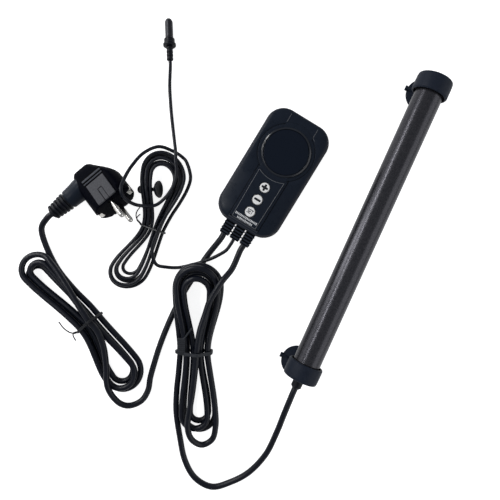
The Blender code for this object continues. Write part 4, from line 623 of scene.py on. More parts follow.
sensorPath = wholeCord(
    sensorHank,
    np.vstack([outlet(boxTurn, boxSpot, reliefEnd["sensor"], (0, -1, 0)),
               [(-50, -67.4, 9.8), (-57, -76.9, 9.3), (-63.5, -83.4, 8.5), (-69, -88.4, 7.6), (-77, -94.9, 3.0),
                (-85, -100.4, 1.9), (-94, -103.9, 3)],
               local(sensorHank, (20, -30, 1.6), (13, -24, 2.1), (7.6, -14, 2.1))]),
    np.vstack([local(sensorHank, (14, 17, 0), (19.5, 31, 0), (24, 45, 0), (25, 57, 0), (19.5, 68, 0)),
               [(-122.5, -4.2, 1.9), (-133, -2.6, 1.9), (-146.5, -4.4, 4), (-155, -15.9, 11),
                (-157.5, -30.4, 20), (-157, -41.4, 27.5), (-155.2, -50.2, 34.3), (-153, -55, 37.3),
                (-148.5, -59.6, 36), (-142.5, -61.7, 29), (-136, -60.9, 21.5)],
               local(sensorHank, (-1, 21, 2.3), (7, 31, 1.9), (12, 43, 2.0), (13, 55, 2.3), (10, 65, 2.3)),
               [(-128.5, -3.4, 10.5), (-134.5, 5.6, 5.8), (-141, 15.6, 2.4), (-148, 27.6, 2.1),
                (-154, 38.6, 2.1), (-160, 50.6, 2.5)],
               outlet(probeTurn, probeSpot, (0, 0, 0), (0, 0, -1))[::-1]]), pathSteps["sensor"])


def cordPiece(name, path, diameter, *nodes):
    # an open curve along the path with a round section
    curve = bpy.data.curves.new(name, "CURVE")
    curve.dimensions = "3D"
    spline = curve.splines.new("POLY")
    spline.points.add(len(path) - 1)
    spline.points.foreach_set("co", np.column_stack([path * mm, np.ones(len(path))]).ravel())
    curve.bevel_depth = diameter / 2 * mm
    curve.bevel_resolution = 5
    curve.use_fill_caps = True
    curve.materials.append(finish("cord"))
    item = bpy.data.objects.new(name, curve)
    bpy.context.scene.collection.objects.link(item)
    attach(item, "base")
    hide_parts(*nodes)
    length = np.linalg.norm(np.diff(path, axis=0), axis=1).sum()
    print(name, "is", round(length / 1000, 3), "m long")
    return item


mainsCord = cordPiece("mainsCord", mainsPath, mainsHank["diameter"], "mains_lead", "mains_hank", "plug_lead")
heaterCord = cordPiece("heaterCord", heaterPath, heaterHank["diameter"], "heater_lead", "heater_hank", "heater_tail")
sensorCord = cordPiece("sensorCord", sensorPath, sensorHank["diameter"], "sensor_lead", "sensor_hank", "sensor_tail")
print("cords laid")


# ---- heater

tubeShape = {"radius": 12.5, "wall": 1.0, "nose": 4.0, "mouth": -136.0, "top": 147.5}
sleeveShape = {"radius": 16.0, "length": 15.8, "bore": 12.9, "mouth": 13.9, "end": 2.8, "hole": 5.1, "socket": 18.2,
               "lip": 20.6, "boss": 6.2, "ball": 4.2, "socketAt": 6.6}
cupShape = {"radius": 14.6, "hollow": 1.8, "seat": 12.0, "neck": 2.2, "ball": 3.6, "ballHeight": 7.1, "tab": 16.6,
            "headHalf": 2.3}
tubeTurn = turnedAbout("x", -90)
tubeSpot = (heaterPlace["x"], heaterPlace["y"], heaterPlace["z"])


def heaterTube():
    # outer wall, rounded closed end and bore, spun about the tube's axis
    t = tubeShape
    bore = t["radius"] - t["wall"]
    outer = softened([(bore, t["mouth"]), (t["radius"], t["mouth"]), (t["radius"], t["top"]), (0.4, t["top"])],
                     [0, 0.3, t["nose"], 0], 8)
    inner = softened([(0.4, t["top"] - t["wall"]), (bore, t["top"] - t["wall"]), (bore, t["mouth"])],
                     t["nose"] - t["wall"], 6)
    wall = turnedPart(np.vstack([outer, inner]), 96, closed=True)
    piece("heaterTube", [placed(wall, tubeTurn, tubeSpot)], "coatedSteel", replaces=["heater_tube"])


def stopper():
    # plug in the open end with the boss that the cable leaves
    boss = softened([(0.3, -150.6), (3.2, -150.6), (4.8, -149.0), (4.8, -138.5), (12.5, -138.5), (12.5, -136.3),
                     (11.2, -136.3), (11.2, -120.0), (0.3, -120.0)], [0, 0.35, 0.5, 0.3, 0.3, 0.2, 0.2, 0.3, 0], 4)
    piece("tubeStopper", [placed(turnedPart(boss, 64), tubeTurn, tubeSpot)], "softRubber",
          replaces=["tube_stopper"])


def sleeve(name, node, body, mouthAt, facing, turn, hole):
    # a cap spun about the tube, and below it a boss with a ball socket
    s = sleeveShape
    tip = s["hole"] if hole else 0.3
    wall = [(s["bore"], 4.0), (s["mouth"], 3.0), (s["mouth"], 0.3), (14.4, 0.0), (15.2, 0.0), (15.75, 0.9),
            (s["radius"], 1.3), (s["radius"], 8.0), (15.9, 13.0), (15.5, 15.2), (14.2, s["length"]),
            (tip, s["length"]), (tip, s["length"] - s["end"]), (s["bore"], s["length"] - s["end"])]
    profile = softened(wall + [wall[0]], [0, 0.4, 0.3, 0.4, 0.4, 0.3, 0.6, 3, 3, 2, 1.6, 0.4, 0.3, 0.3, 0], 5)[:-1]
    cap = turnedPart(profile, 96, closed=True)
    flip = np.eye(3) if facing > 0 else turnedAbout("x", 180)
    cap = placed(cap, tubeTurn @ flip, (tubeSpot[0], tubeSpot[1] + mouthAt, tubeSpot[2]))
    drop = s["lip"] - s["socket"]
    opening = math.sqrt(s["ball"] ** 2 - drop ** 2)
    start = math.asin(drop / s["ball"])
    arc = [(s["ball"] * math.cos(a), s["socket"] + s["ball"] * math.sin(a)) for a in np.linspace(start, -1.5, 14)]
    boss = softened([(0.3, 13.3), (8.2, 13.3), (7.4, 15.6), (s["boss"], 17.4), (s["boss"], s["lip"]),
                     (opening, s["lip"])], [0, 0.3, 2, 2, 0.8, 0], 5)
    a = math.radians(turn)
    down, along = np.array([-math.sin(a), 0, -math.cos(a)]), np.array([0, 1.0, 0])
    axes = np.stack([np.cross(along, down), along, down], 1)
    spot = (tubeSpot[0], tubeSpot[1] + mouthAt + facing * s["socketAt"], tubeSpot[2])
    socket = placed(turnedPart(np.vstack([boss, arc]), 40), axes, spot)
    piece(name, [cap, socket], "rubber", body, [node])


def suctionCup(name, node, body, x, y):
    # a shallow bell with a ball knob, and a bar with a cross piece to pull it off by
    c = cupShape
    knob = [(c["ball"] * math.cos(a), c["ballHeight"] + c["ball"] * math.sin(a)) for a in np.linspace(-0.85, 1.45, 12)]
    bell = softened([(0.3, c["hollow"]), (5, 1.75), (9.4, 1.05), (c["seat"], 0), (c["radius"] - 0.3, 0),
                     (c["radius"], 0.35), (c["radius"], 0.95), (c["radius"] - 0.9, 1.2), (c["radius"] - 1.7, 1.35),
                     (10.0, 2.1), (5.8, 3.0), (2.9, 3.5), (c["neck"], 3.9), (c["neck"], 4.4)],
                    [0, 2, 2, 0.2, 0.2, 0.2, 0.3, 0.6, 0.6, 3, 2, 1, 0.3, 0], 5)
    cup = turnedPart(np.vstack([bell, knob]), 72)
    bar = sweptPart([(-7.4, 0, 2.2), (-9, 0, 2.3), (-12, 0, 2.2), (-14, 0, 2.1), (-c["tab"] + 0.6, 0, 2.1)],
                    [1.0, 1.3, 1.4, 1.3, 1.2], 16)
    half = c["headHalf"]
    across = np.linspace(-half, half, 9)
    share = np.abs(across) / half
    head = sweptPart(np.column_stack([-c["tab"] + 0.8 + 0 * across, across, 2.1 + 0 * across]),
                     1.15 + 0.25 * share ** 2 - 0.45 * share ** 8, 16)
    piece(name, [placed(p, flatPlace, (x, y, 0)) for p in (cup, bar, head)], "rubber", body, [node])


heaterTube()
stopper()
sleeve("topSleeve", "top_sleeve", "top_collar", 134.8, 1, 4, False)
sleeve("bottomSleeve", "bottom_sleeve", "bottom_collar", -125.8, -1, 15, True)
suctionCup("topSuctionCup", "top_suction_cup", "top_cup", 56.7304, 139.0)
suctionCup("bottomSuctionCup", "bottom_suction_cup", "bottom_cup", 53.2895, -134.8)
print("heater made")


# ---- thermostat

boxShape = {"width": 62.8, "length": 115.4, "corner": 17.0, "shift": (-0.4, 0.3), "wall": 2.2, "seam": 8.0,
            "rim": 9.2, "shoulder": 11.6, "deck": 18.2, "edge": 3.4, "strip": 19.0, "stripEnd": -53.4,
            "stripHalf": 15.2, "upperHalf": 13.8, "upperRise": 0.4, "ribPitch": 1.5, "ribDepth": 0.28,
            "ribReach": 41.0, "screws": (20, 44)}
lensShape = {"y": 20.976, "radius": 20.4, "top": 19.6, "low": 18.0, "bezel": 22.5, "bezelTop": 20.0, "groove": 26.0,
             "grooveHalf": 0.45, "grooveDepth": 0.7, "stripClear": 1.2}
keyShape = {"firstY": -15.96, "pitch": 12.7, "radius": 4.45, "top": 20.0, "clearance": 0.75}
keyRows = [keyShape["firstY"] - k * keyShape["pitch"] for k in range(3)]


def onBox(parts):
    return [placed(p, boxTurn, boxSpot) for p in parts]


def stripOutline(half, end, radius, above=False):
    # straight sides from the end to the ring round the lens, hollowed there by the ring's arc
    reach = math.asin(half / radius)
    a = np.linspace(reach, -reach, 25)
    y = lensShape["y"]
    arc = np.stack([radius * np.sin(a), y - radius * np.cos(a)], 1)
    line = np.vstack([[(-half, end), (half, end)], arc])
    return np.column_stack([line[:, 0], 2 * y - line[:, 1]])[::-1] if above else line


def stripEndPiece():
    # the sloped end of the raised strip: one outline carried across, a little smaller at both sides
    b = boxShape
    lip = softened([(-52.0, b["deck"] - 1), (-52.0, b["strip"]), (-53.2, b["strip"]), (-56.2, 16.4), (-56.7, 14.9),
                    (-54.5, 14.9)], [0, 0, 0.5, 0.6, 0, 0], 4)
    middle = lip.mean(0)
    half = b["stripHalf"]
    wedge = np.stack([np.column_stack([np.full(len(lip), x), middle + (lip - middle) * size])
                      for x, size in ((-half, 0.97), (-half + 0.15, 1), (half - 0.15, 1), (half, 0.97))])
    # the bar finish is lighter than the housing's plastic: a painted sheen where the slope catches the light
    piece("stripEnd", onBox([gridPart(wedge)]), "bar")


def stripEdges():
    # a thin near-black sheet along each side of the raised strip, painted shade that stands for a groove; thin pale
    # lines beside the upper one and a slanted tick, painted highlights on edges
    b = boxShape
    upper = b["deck"] + b["upperRise"]
    grooveShades, lines = [], []
    for side in (-1, 1):
        groove = roundedBox(0.5, 54.2, 0.1, 0.3, side * 15.5, -26.5)
        grooveShades += slabParts(groove, [], b["deck"] - 0.02, b["deck"] + 0.03, 0.02)
        line = roundedBox(0.3, 8.8, 0.1, 0.3, side * b["upperHalf"], 49.0)
        lines += slabParts(line, [], upper - 0.02, upper + 0.03, 0.02)
    tick = roundedBox(0.3, 3.4, 0.1, 0.3) @ turnedAbout("z", 59)[:2, :2].T + [15.2, 43.7]
    lines += slabParts(tick, [], b["deck"] - 0.02, b["deck"] + 0.04, 0.02)
    piece("stripGrooveShade", onBox(grooveShades), "gap")
    piece("stripHighlightLines", onBox(lines), "edgeHighlightGrey")


def frontShell():
    # a wall that slopes in to a flat deck, with fine upright ribs on its long sides; the deck has a ring
    # groove, a hole for the lens's ring and three for the keys; a raised strip carries the keys and a lower
    # one runs on above the lens
    b, l, k = boxShape, lensShape, keyShape
    outline = roundedBox(b["width"], b["length"], b["corner"], 0.25, *b["shift"])
    slope = softened([(0.0, b["rim"]), (0.0, b["shoulder"]), (1.5, 16.4), (2.3, 17.5), (b["edge"], b["deck"])],
                     [0, 3, 2, 1.2, 0], 5)
    side = np.abs(outline[:, 0] - b["shift"][0]) > b["width"] / 2 - 1.2
    fade = np.clip((b["ribReach"] - np.abs(outline[:, 1])) / 5, 0, 1) * side
    wave = np.clip(0.5 - 0.9 * np.cos(2 * np.pi * outline[:, 1] / b["ribPitch"]), 0, 1) * fade
    rows = [(shrunk(outline, b["wall"]), b["deck"] - b["wall"]), (shrunk(outline, b["wall"]), b["rim"]),
            (shrunk(outline, 0.3), b["rim"]), (shrunk(outline, 0.0), b["rim"] + 0.3)]
    for inset, z in slope[1:]:
        window = np.clip((z - b["rim"] - 0.6) / 0.5, 0, 1) * np.clip((17.3 - z) / 0.5, 0, 1)
        base = shrunk(outline, inset)
        deeper = shrunk(outline, inset + b["ribDepth"])
        rows.append((base + (deeper - base) * (wave * window)[:, None], z))
    edge = rows[-1][0]
    mid = (0, l["y"])
    keyHoles = [circle(k["radius"] + k["clearance"], 0, y, 40) for y in keyRows]
    ringOut, ringIn = circle(l["groove"] + l["grooveHalf"], *mid, 120), circle(l["groove"] - l["grooveHalf"], *mid, 120)
    lensHole = circle(l["bezel"] + 0.2, *mid, 120)
    deck, ceiling = b["deck"], b["deck"] - b["wall"]
    bottom = deck - l["grooveDepth"]
    soft = 0.18
    outer, lean = 3, len(rows) - 6  # rows from outer to lean are the leaning wall, later ones turn onto the deck
    # the wall finish is lighter than the housing: painted sheen for the band that catches the light
    piece("leaningWall", onBox([wallPart(rows[outer:lean + 1])]), "wall")
    groove = [(shrunk(ringOut, -soft), deck), (shrunk(ringOut, -0.05), deck - 0.06), (ringOut, deck - soft),
              (ringOut, bottom), (ringIn, bottom), (ringIn, deck - soft), (shrunk(ringIn, 0.05), deck - 0.06),
              (shrunk(ringIn, soft), deck)]
    parts = [wallPart(rows[:outer + 1]), wallPart(rows[lean:]),
             flatPart(edge, [shrunk(ringOut, -soft)] + keyHoles, deck), wallPart(groove),
             flatPart(shrunk(ringIn, soft), [lensHole], deck),
             wallPart([(lensHole, deck), (lensHole, ceiling)]),
             flatPart(rows[0][0], [lensHole] + keyHoles, ceiling)]
    parts += [wallPart([(hole, deck), (hole, ceiling)]) for hole in keyHoles]
    ring = l["groove"] + l["stripClear"]
    parts += slabParts(stripOutline(b["stripHalf"], b["stripEnd"], ring), keyHoles, deck - 0.6, b["strip"], 0.35)
    parts += slabParts(stripOutline(b["upperHalf"], 53.2, ring, above=True), [], deck - 0.6, deck + b["upperRise"], 0.3)
    stripEndPiece()
    piece("frontShell", onBox(parts), "housing", replaces=["front_shell"])
    stripEdges()


def rearShell():
    # a shallow tray with recesses for the screws' heads in its back, and a pillar above each
    b = boxShape
    outline = roundedBox(b["width"], b["length"], b["corner"], 0.5, *b["shift"])
    across, along = b["screws"]
    recess = [circle(2.9, sx * across, sy * along, 32) for sx in (-1, 1) for sy in (-1, 1)]
    foot = softened([(1.7, 0), (0, 1.7), (0, b["seam"] - 0.3), (0.3, b["seam"])], [0, 1.2, 0, 0], 5)
    rows = [(shrunk(outline, inset), z) for inset, z in foot]
    rows += [(shrunk(outline, b["wall"]), b["seam"]), (shrunk(outline, b["wall"]), 2.0)]
    parts = [wallPart(rows), flatPart(rows[0][0], recess, 0), flatPart(rows[-1][0], recess, 2.0)]
    parts += [wallPart([(hole, 0), (hole, 2.0)]) for hole in recess]
    pillar = turnedPart([(4.6, 1.9), (4.6, 3.7), (1.5, 3.7), (1.5, 1.9)], 32, closed=True)
    parts += [placed(pillar, flatPlace, (*hole.mean(0), 0)) for hole in recess]
    piece("rearShell", onBox(parts), "housing", replaces=["rear_shell"])


def lens():
    # a disc with a round edge in a glossy ring
    l = lensShape
    disc = softened([(0.3, l["low"]), (l["radius"], l["low"]), (l["radius"], l["top"]), (15, l["top"] + 0.02),
                     (0.3, l["top"] + 0.02)], [0, 0.1, 0.5, 0, 0], 6)
    piece("displayLens", onBox([placed(turnedPart(disc, 128), flatPlace, (0, l["y"], 0))]), "lens",
          replaces=["display_lens"])
    inner = l["radius"] + 0.3
    ring = [(inner - 2, 16.0), (l["bezel"], 16.0), (l["bezel"], l["bezelTop"] - 0.75),
            (l["bezel"] - 0.1, l["bezelTop"] - 0.6), (inner + 0.5, l["bezelTop"]), (inner + 0.2, l["bezelTop"]),
            (inner, l["bezelTop"] - 0.3), (inner, 17.7), (inner - 2, 17.7)]
    profile = softened(ring + [ring[0]], [0, 0.2, 0.1, 0.1, 0.3, 0.1, 0.1, 0.1, 0.1, 0], 4)[:-1]
    piece("lensRing", onBox([placed(turnedPart(profile, 128, closed=True), flatPlace, (0, l["y"], 0))]), "gloss",
          replaces=["lens_bezel"])


tickShape = {"rows": ((-48.0, 17, 2.3), (-50.9, 12, 2.1)), "pitch": 1.32, "width": 0.8, "short": 0.82}


def overlay():
    # a thin sheet with key holes that narrows towards the cords, bordered by a fine pale bead that paints the
    # highlight on its edge, and two rows of small ticks, every fourth of them taller
    k = keyShape
    sheet = stripOutline(13.2, -52.6, lensShape["groove"] + 1.8)
    sheet[:, 0] *= 1 - 0.07 * np.clip((-12 - sheet[:, 1]) / 40, 0, 1)
    holes = [circle(k["radius"] + k["clearance"], 0, y, 48) for y in keyRows]
    piece("keypadOverlay", onBox(slabParts(sheet, holes, 19.3, 19.7, 0.12)), "housing",
          replaces=["keypad_overlay"])
    fine = evenOutline(shrunk(sheet, 0.25), 0.8)
    bead = sweptPart(np.column_stack([fine, np.full(len(fine), 19.68)]), 0.2, 8, closed=True)
    piece("overlayHighlightBead", onBox([bead]), "edgeHighlightGrey")
    marks = []
    t = tickShape
    for y, count, tall in t["rows"]:
        for n in range(count):
            high = tall * (1.0 if n % 4 == (count // 2) % 4 else t["short"])
            x = (n - (count - 1) / 2) * t["pitch"]
            marks += slabParts(roundedBox(t["width"], high, 0.25, 0.12, x, y), [], 19.66, 19.76, 0.04)
    piece("scaleTicks", onBox(marks), "paleInk")


def crossOutline(arm, half):
    # the outline of a plus with round arm ends
    a = np.linspace(-np.pi / 2, np.pi / 2, 9)
    tip = np.stack([arm - half * 0.7 + half * 0.7 * np.cos(a), half * np.sin(a)], 1)
    quarter = np.vstack([tip, [(half + 0.25, half), (half, half + 0.25)]])
    return np.vstack([quarter @ turnedAbout("z", 90 * k)[:2, :2].T for k in range(4)])


def setWord():
    # the word on the third key, as a mesh that is narrowed
    label = bpy.data.curves.new("setLabel", "FONT")
    label.body, label.size, label.align_x, label.align_y = "SET", 5.6, "CENTER", "CENTER"
    label.space_character, label.extrude, label.offset = 1.0, 0.05, 0.14
    holder = bpy.data.objects.new("setText", label)
    bpy.context.scene.collection.objects.link(holder)
    bpy.context.view_layer.update()
    mesh = bpy.data.meshes.new_from_object(holder)
    spots = np.zeros(len(mesh.vertices) * 3)
    mesh.vertices.foreach_get("co", spots)
    cells = [list(p.vertices) for p in mesh.polygons]
    bpy.data.objects.remove(holder)
    return spots.reshape(-1, 3) * (0.68, 1, 1), cells, False


def keys():
    # discs on stems, each with its printed mark a hair above the face
    k = keyShape
    low, high = k["top"] - 0.05, k["top"] + 0.05
    for name, y in zip(("plus", "minus", "set"), keyRows):
        body = name + "_key"
        cap = softened([(0.3, 8.2), (1.4, 8.2), (1.4, 14.9), (6.0, 14.9), (6.0, 15.7), (k["radius"], 15.7),
                        (k["radius"], k["top"] - 0.35), (k["radius"] - 0.5, k["top"]), (0.3, k["top"])],
                       [0, 0.2, 0, 0.2, 0.2, 0.1, 0.3, 0.5, 0], 5)
        piece(name + "Button", onBox([placed(turnedPart(cap, 64), flatPlace, (0, y, 0))]), "key", body,
              [name + "_button"])
        if name == "set":
            piece("setLabel", onBox([placed(setWord(), flatPlace, (0, y, k["top"]))]), "softPrint", body)
            continue
        outline = crossOutline(3.25, 1.0) if name == "plus" else roundedBox(6.5, 2.0, 0.6, 0.2)
        mark = [placed(p, flatPlace, (0, y, 0)) for p in slabParts(outline, [], low, high, 0.04)]
        piece(name + "Mark", onBox(mark), "print", body)


def reliefPart(x, spans):
    # a rounded oblong carried along the cord's way; each span is (place along it, share of width, share of height)
    r = reliefShape
    base = roundedBox(r["width"], r["height"], r["corner"], 0.5)
    rows = []
    for y, wide, high in spans:
        ring = base * (wide, high)
        rows.append(np.column_stack([x + ring[:, 0], np.full(len(ring), y), r["middle"] + ring[:, 1]]))
    return gridPart(np.stack(rows))


def strainRelief(name, node, x):
    # a block and four ribs with uneven sides, round a darker core whose near-black colour is painted shade between the
    # ribs
    r = reliefShape
    ribs = [reliefPart(x, [(-51.4, 1, 1.3), (-52.7, 1, 1.3), (-52.8, 1, 1), (-57.2, 1, 1), (-57.5, 0.97, 0.95)])]
    for k in range(r["ribs"]):
        y = r["firstRib"] - r["ribPitch"] * k
        wide = 1.0 if k % 2 == 0 else 0.95
        ribs.append(reliefPart(x, [(y, wide - 0.05, 0.92), (y - 0.3, wide, 1), (y - 1.25, wide, 1),
                                   (y - 1.55, wide - 0.05, 0.92)]))
    ribs.append(reliefPart(x, [(r["end"] + 0.6, 0.84, 0.80), (r["end"], 0.80, 0.76)]))
    core = reliefPart(x, [(-57.0, 0.93, 0.74), (r["end"] + 0.2, 0.86, 0.70)])
    piece(name, onBox(ribs), "ribRubber", replaces=[node], sharp=30)
    piece(name + "ShadedCore", onBox([core]), "gap", sharp=30)


frontShell()
rearShell()
lens()
overlay()
keys()
for word, step in (("mains", -1), ("sensor", 0), ("heater", 1)):
    strainRelief(word + "Relief", word + "_relief", step * reliefShape["pitch"])
print("thermostat made")


# ---- plug

plugShape = {"radius": 19.7, "rim": 6.5, "cut": 15.3, "notchHalf": 4.5, "notchDepth": 2.4, "hole": 2.7,
             "holeOffset": 9.5, "neckBehind": 33.4, "neckEnd": 32.4, "boot": 19.5, "bootRibs": 5, "pin": 2.4,
             "pinLength": 19.0, "spacing": 19.0}
pad = {"half": 9.4, "back": 24.0, "front": 0.4, "root": 11.5, "low": 13.9, "high": 17.3, "channel": 2.35,
       "channelEnd": 14.2}


def onPlug(parts):
    return [placed(p, plugTurn, plugSpot) for p in parts]


def gripRing(depth, reach, flat, drift=0.0, count=96):
    # a circle cut off flat on two sides: past the flat, |x| levels off as flat - soft + soft tanh(excess / soft)
    a = np.linspace(0, 2 * np.pi, count, endpoint=False) + np.pi / count
    x, y = reach * np.cos(a), reach * np.sin(a)
    soft = 1.2
    eased = flat - soft + soft * np.tanh(np.maximum(np.abs(x) - flat + soft, 0) / soft * 0.9)
    return np.column_stack([np.sign(x) * np.minimum(np.abs(x), eased), drift + y, np.full(count, -depth)])


def onGrip(parts, side):
    # a plate drawn over (across, depth) rises with the pad's slope towards the face
    rise = (pad["high"] - pad["low"]) / (pad["back"] - pad["front"])
    out = []
    for points, faces, smooth in parts:
        points = np.array(points, float)
        height = points[:, 2] + rise * np.maximum(pad["back"] + points[:, 1], 0)
        out.append((np.column_stack([side * height, points[:, 0], points[:, 1]]), faces, smooth))
    return out


def plugBody():
    # rings carried back from the rim, a disc with two notches and three holes, and a neck for the cord
    p = plugShape
    # depth behind the face, radius, flat and drift of each ring, from the back
    sections = [(46.2, 8.4, 5.6, -5.9), (46.0, 9.2, 6.6, -5.8), (45.2, 10.2, 7.6, -5.6), (43.2, 11.6, 8.8, -5.5),
                (38.5, 13.9, 11.0, -4.4), (34.1, 16.0, 12.4, -3.0), (29.2, 18.0, 13.2, -1.6),
                (25.5, 19.1, 13.6, -0.6), (22, 19.6, 13.6, 0), (14, 19.7, 13.6, 0), (9.0, 19.6, 13.6, 0),
                (7.6, 19.6, 13.9, 0), (6.8, 19.6, 15.5, 0)]
    body = gridPart(np.stack([gripRing(*section) for section in sections]))
    half, low = p["notchHalf"], p["radius"] - p["notchDepth"]
    reach = math.asin(half / p["radius"])
    a = np.linspace(np.pi / 2 - reach, reach - np.pi / 2, 80)
    right = np.stack([p["radius"] * np.cos(a), p["radius"] * np.sin(a)], 1)
    face = np.vstack([[(half, low)], right, [(half, -low)], [(-half, -low)], -right, [(-half, low)]])
    face[:, 0] = np.clip(face[:, 0], -p["cut"], p["cut"])
    away = p["holeOffset"]
    holes = [circle(p["hole"], x, y, 32) for x, y in ((0, away), (away, 0), (-away, 0))]
    disc = slabParts(face, holes, -p["rim"] - 0.4, 0, 0.7, 0.15)
    rings = []
    for y, radius, wide in ((-6, 10.6, 1.14), (-14, 10.4, 1.1), (-19, 10.1, 1.06), (-23, 9.7, 1.0), (-27, 9.4, 0.96),
                            (-30.6, 9.3, 0.94), (-31.8, 9.2, 0.92), (-32.4, 8.6, 0.92)):
        around = circle(radius, count=64)
        rings.append(np.column_stack([wide * around[:, 0], np.full(64, float(y)), around[:, 1] - p["neckBehind"]]))
    piece("plugBody", onPlug([body] + disc), "plugBlack", replaces=["plug_body"], sharp=32)
    piece("plugNeck", onPlug([gridPart(np.stack(rings))]), "housing", sharp=32)


def plugGrips():
    # on each grip side a pad that rises towards the face, with a channel in it, and two bars behind it over
    # a dark bed, whose near-black colour is painted shade under the bars and in the channel; bars and bed are lower
    # on the side that the plug lies on
    pads, bars, bed = [], [], []
    c, front, back = pad["channel"], -pad["front"], -pad["back"]
    end = -pad["channelEnd"]
    half, root = pad["half"], pad["root"]
    outline = np.array([(-half, front), (-c, front), (-c, end), (c, end), (c, front), (half, front), (half, back),
                        (-half, back)])
    tongue = np.array([(-c + 0.5, front - 0.1), (c - 0.35, front - 0.1), (c - 0.35, end + 0.4), (-c + 0.5, end + 0.4)])
    bedOutline = roundedBox(21.4, 7.6, 0.6, 0.4, 0, -28.0)
    channelBed = roundedBox(2 * c + 0.2, 13.0, 0.3, 0.4, 0, -7.9)
    for side in (1, -1):
        seen = side < 0
        pads += onGrip(slabParts(cornered(outline, 0.3), [], root, pad["low"], 0.2), side)
        pads += onGrip(slabParts(cornered(tongue, 0.25), [], root, pad["low"] - 0.35, 0.15), side)
        bed += onGrip(slabParts(bedOutline, [], root, 13.7 if seen else 13.05, 0.2), side)
        bed += onGrip(slabParts(channelBed, [], root, pad["low"] - 0.9, 0.1), side)
        for z, wide, over, under in ((-26.0, 1.3, 14.2, 13.5), (-29.4, 2.0, 13.95, 13.3)):
            bar = roundedBox(20.6, wide, 0.4, 0.2, 0, z)
            bars += onGrip(slabParts(bar, [], root, over if seen else under, 0.3), side)
    piece("gripPads", onPlug(pads), "grip")
    piece("gripBars", onPlug(bars), "bar")
    piece("gripBedShade", onPlug(bed), "gap")


def cornered(corners, radius, steps=4):
    # a closed outline whose corners are small arcs
    corners = np.array(corners, float)
    out = []
    for before, corner, after in zip(np.roll(corners, 1, 0), corners, np.roll(corners, -1, 0)):
        one, two = before - corner, after - corner
        one, two = one / np.linalg.norm(one), two / np.linalg.norm(two)
        t = np.linspace(0, 1, steps + 1)[:, None]
        out += list((1 - t) ** 2 * (corner + one * radius) + 2 * t * (1 - t) * corner + t ** 2 * (corner + two * radius))
    return np.array(out)


def plugMetal():
    # two pins with eased tips, and a folded spring strip in each notch
    p = plugShape
    for name, node, side in (("plugPinUpper", "plug_pin_upper", -1), ("plugPinLower", "plug_pin_lower", 1)):
        pin = softened([(0.2, -5.7), (p["pin"], -5.7), (p["pin"], 16.6), (1.9, 18.2), (0.9, p["pinLength"]),
                        (0.2, p["pinLength"])], [0, 0.2, 1.5, 0.8, 0.5, 0], 6)
        piece(name, onPlug([placed(turnedPart(pin, 48), flatPlace, (side * p["spacing"] / 2, 0, 0))]), "chrome",
              replaces=[node])
    for name, node, side in (("earthStripUpper", "earth_strip_upper", 1), ("earthStripLower", "earth_strip_lower", -1)):
        z = np.linspace(-1.0, -14.0, 40)
        t = (-1.0 - z) / 13.0
        out = 17.75 + 1.15 * np.sin(np.pi * np.clip(t * 1.5, 0, 1)) ** 2
        face = np.stack([np.column_stack([x + 0 * z, out - deep, z]) for x, deep in ((-3, 0), (3, 0), (3, 0.6), (-3, 0.6))], 1)
        fold = slabParts(roundedBox(8.0, 3.6, 0.8, 0.3, 0, 16.3), [], -0.5, 0.25, 0.15)
        turn = np.eye(3) if side > 0 else turnedAbout("z", 180)
        strip = [placed(q, turn) for q in [gridPart(face, smooth=False)] + fold]
        piece(name, onPlug(strip), "chrome", replaces=[node], sharp=60)


def plugBoot():
    # ribs that get smaller towards the cord
    p = plugShape
    low, groove = p["neckEnd"] + 0.3, 1.7
    pitch = (p["boot"] - 1.5) / p["bootRibs"]
    line = [(0.3, low), (6.8, low)]
    for k in range(p["bootRibs"]):
        start, radius = low + 1.5 + k * pitch, 8.8 - 1.6 * k / (p["bootRibs"] - 1)
        line += [(radius - groove, start), (radius, start + 0.15), (radius, start + pitch - 1.45),
                 (radius - groove, start + pitch - 1.3)]
    line += [(4.9, low + p["boot"]), (0.3, low + p["boot"])]
    boot = placed(turnedPart(softened(line, 0.45, 4), 64), turnedAbout("x", 90), (0, 0, -p["neckBehind"]))
    piece("plugBoot", onPlug([boot]), "softRubber", replaces=["plug_boot"])


plugBody()
plugGrips()
plugMetal()
plugBoot()
print("plug made")


# ---- probe and its cup

def probe():
    # a ribbed relief, a collar and a steel capsule on one axis
    relief = [(0.2, 0), (2.0, 0)]
    for k in range(3):
        start = 0.4 + 3.4 * k
        relief += [(3.0, start), (3.0, start + 2.2), (2.2, start + 2.3), (2.2, start + 3.3)]
    relief += [(3.0, 10.8), (3.0, 13.0), (0.2, 13.0)]
    collar = [(0.2, 13.3), (5.3, 13.3), (5.9, 13.9), (5.9, 15.7), (5.3, 16.3), (4.9, 16.5), (4.9, 20.3),
              (3.9, 21.3), (0.2, 21.3)]
    capsule = [(0.2, 21.0), (3.6, 21.0), (3.6, 37.2), (2.6, 39.4), (1.2, 40.05), (0.2, 40.1)]
    for name, node, line, look, slot, soft in (("probeRelief", "probe_relief", relief, "softRubber", "rubber", 0.35),
                                               ("probeCollar", "probe_collar", collar, "softRubber", "rubber", 0.5),
                                               ("probeCapsule", "probe_capsule", capsule, "probeSteel", "coated_steel", 1.6)):
        piece(name, [placed(turnedPart(softened(line, soft, 5), 56), probeTurn, probeSpot)], look, replaces=[node])


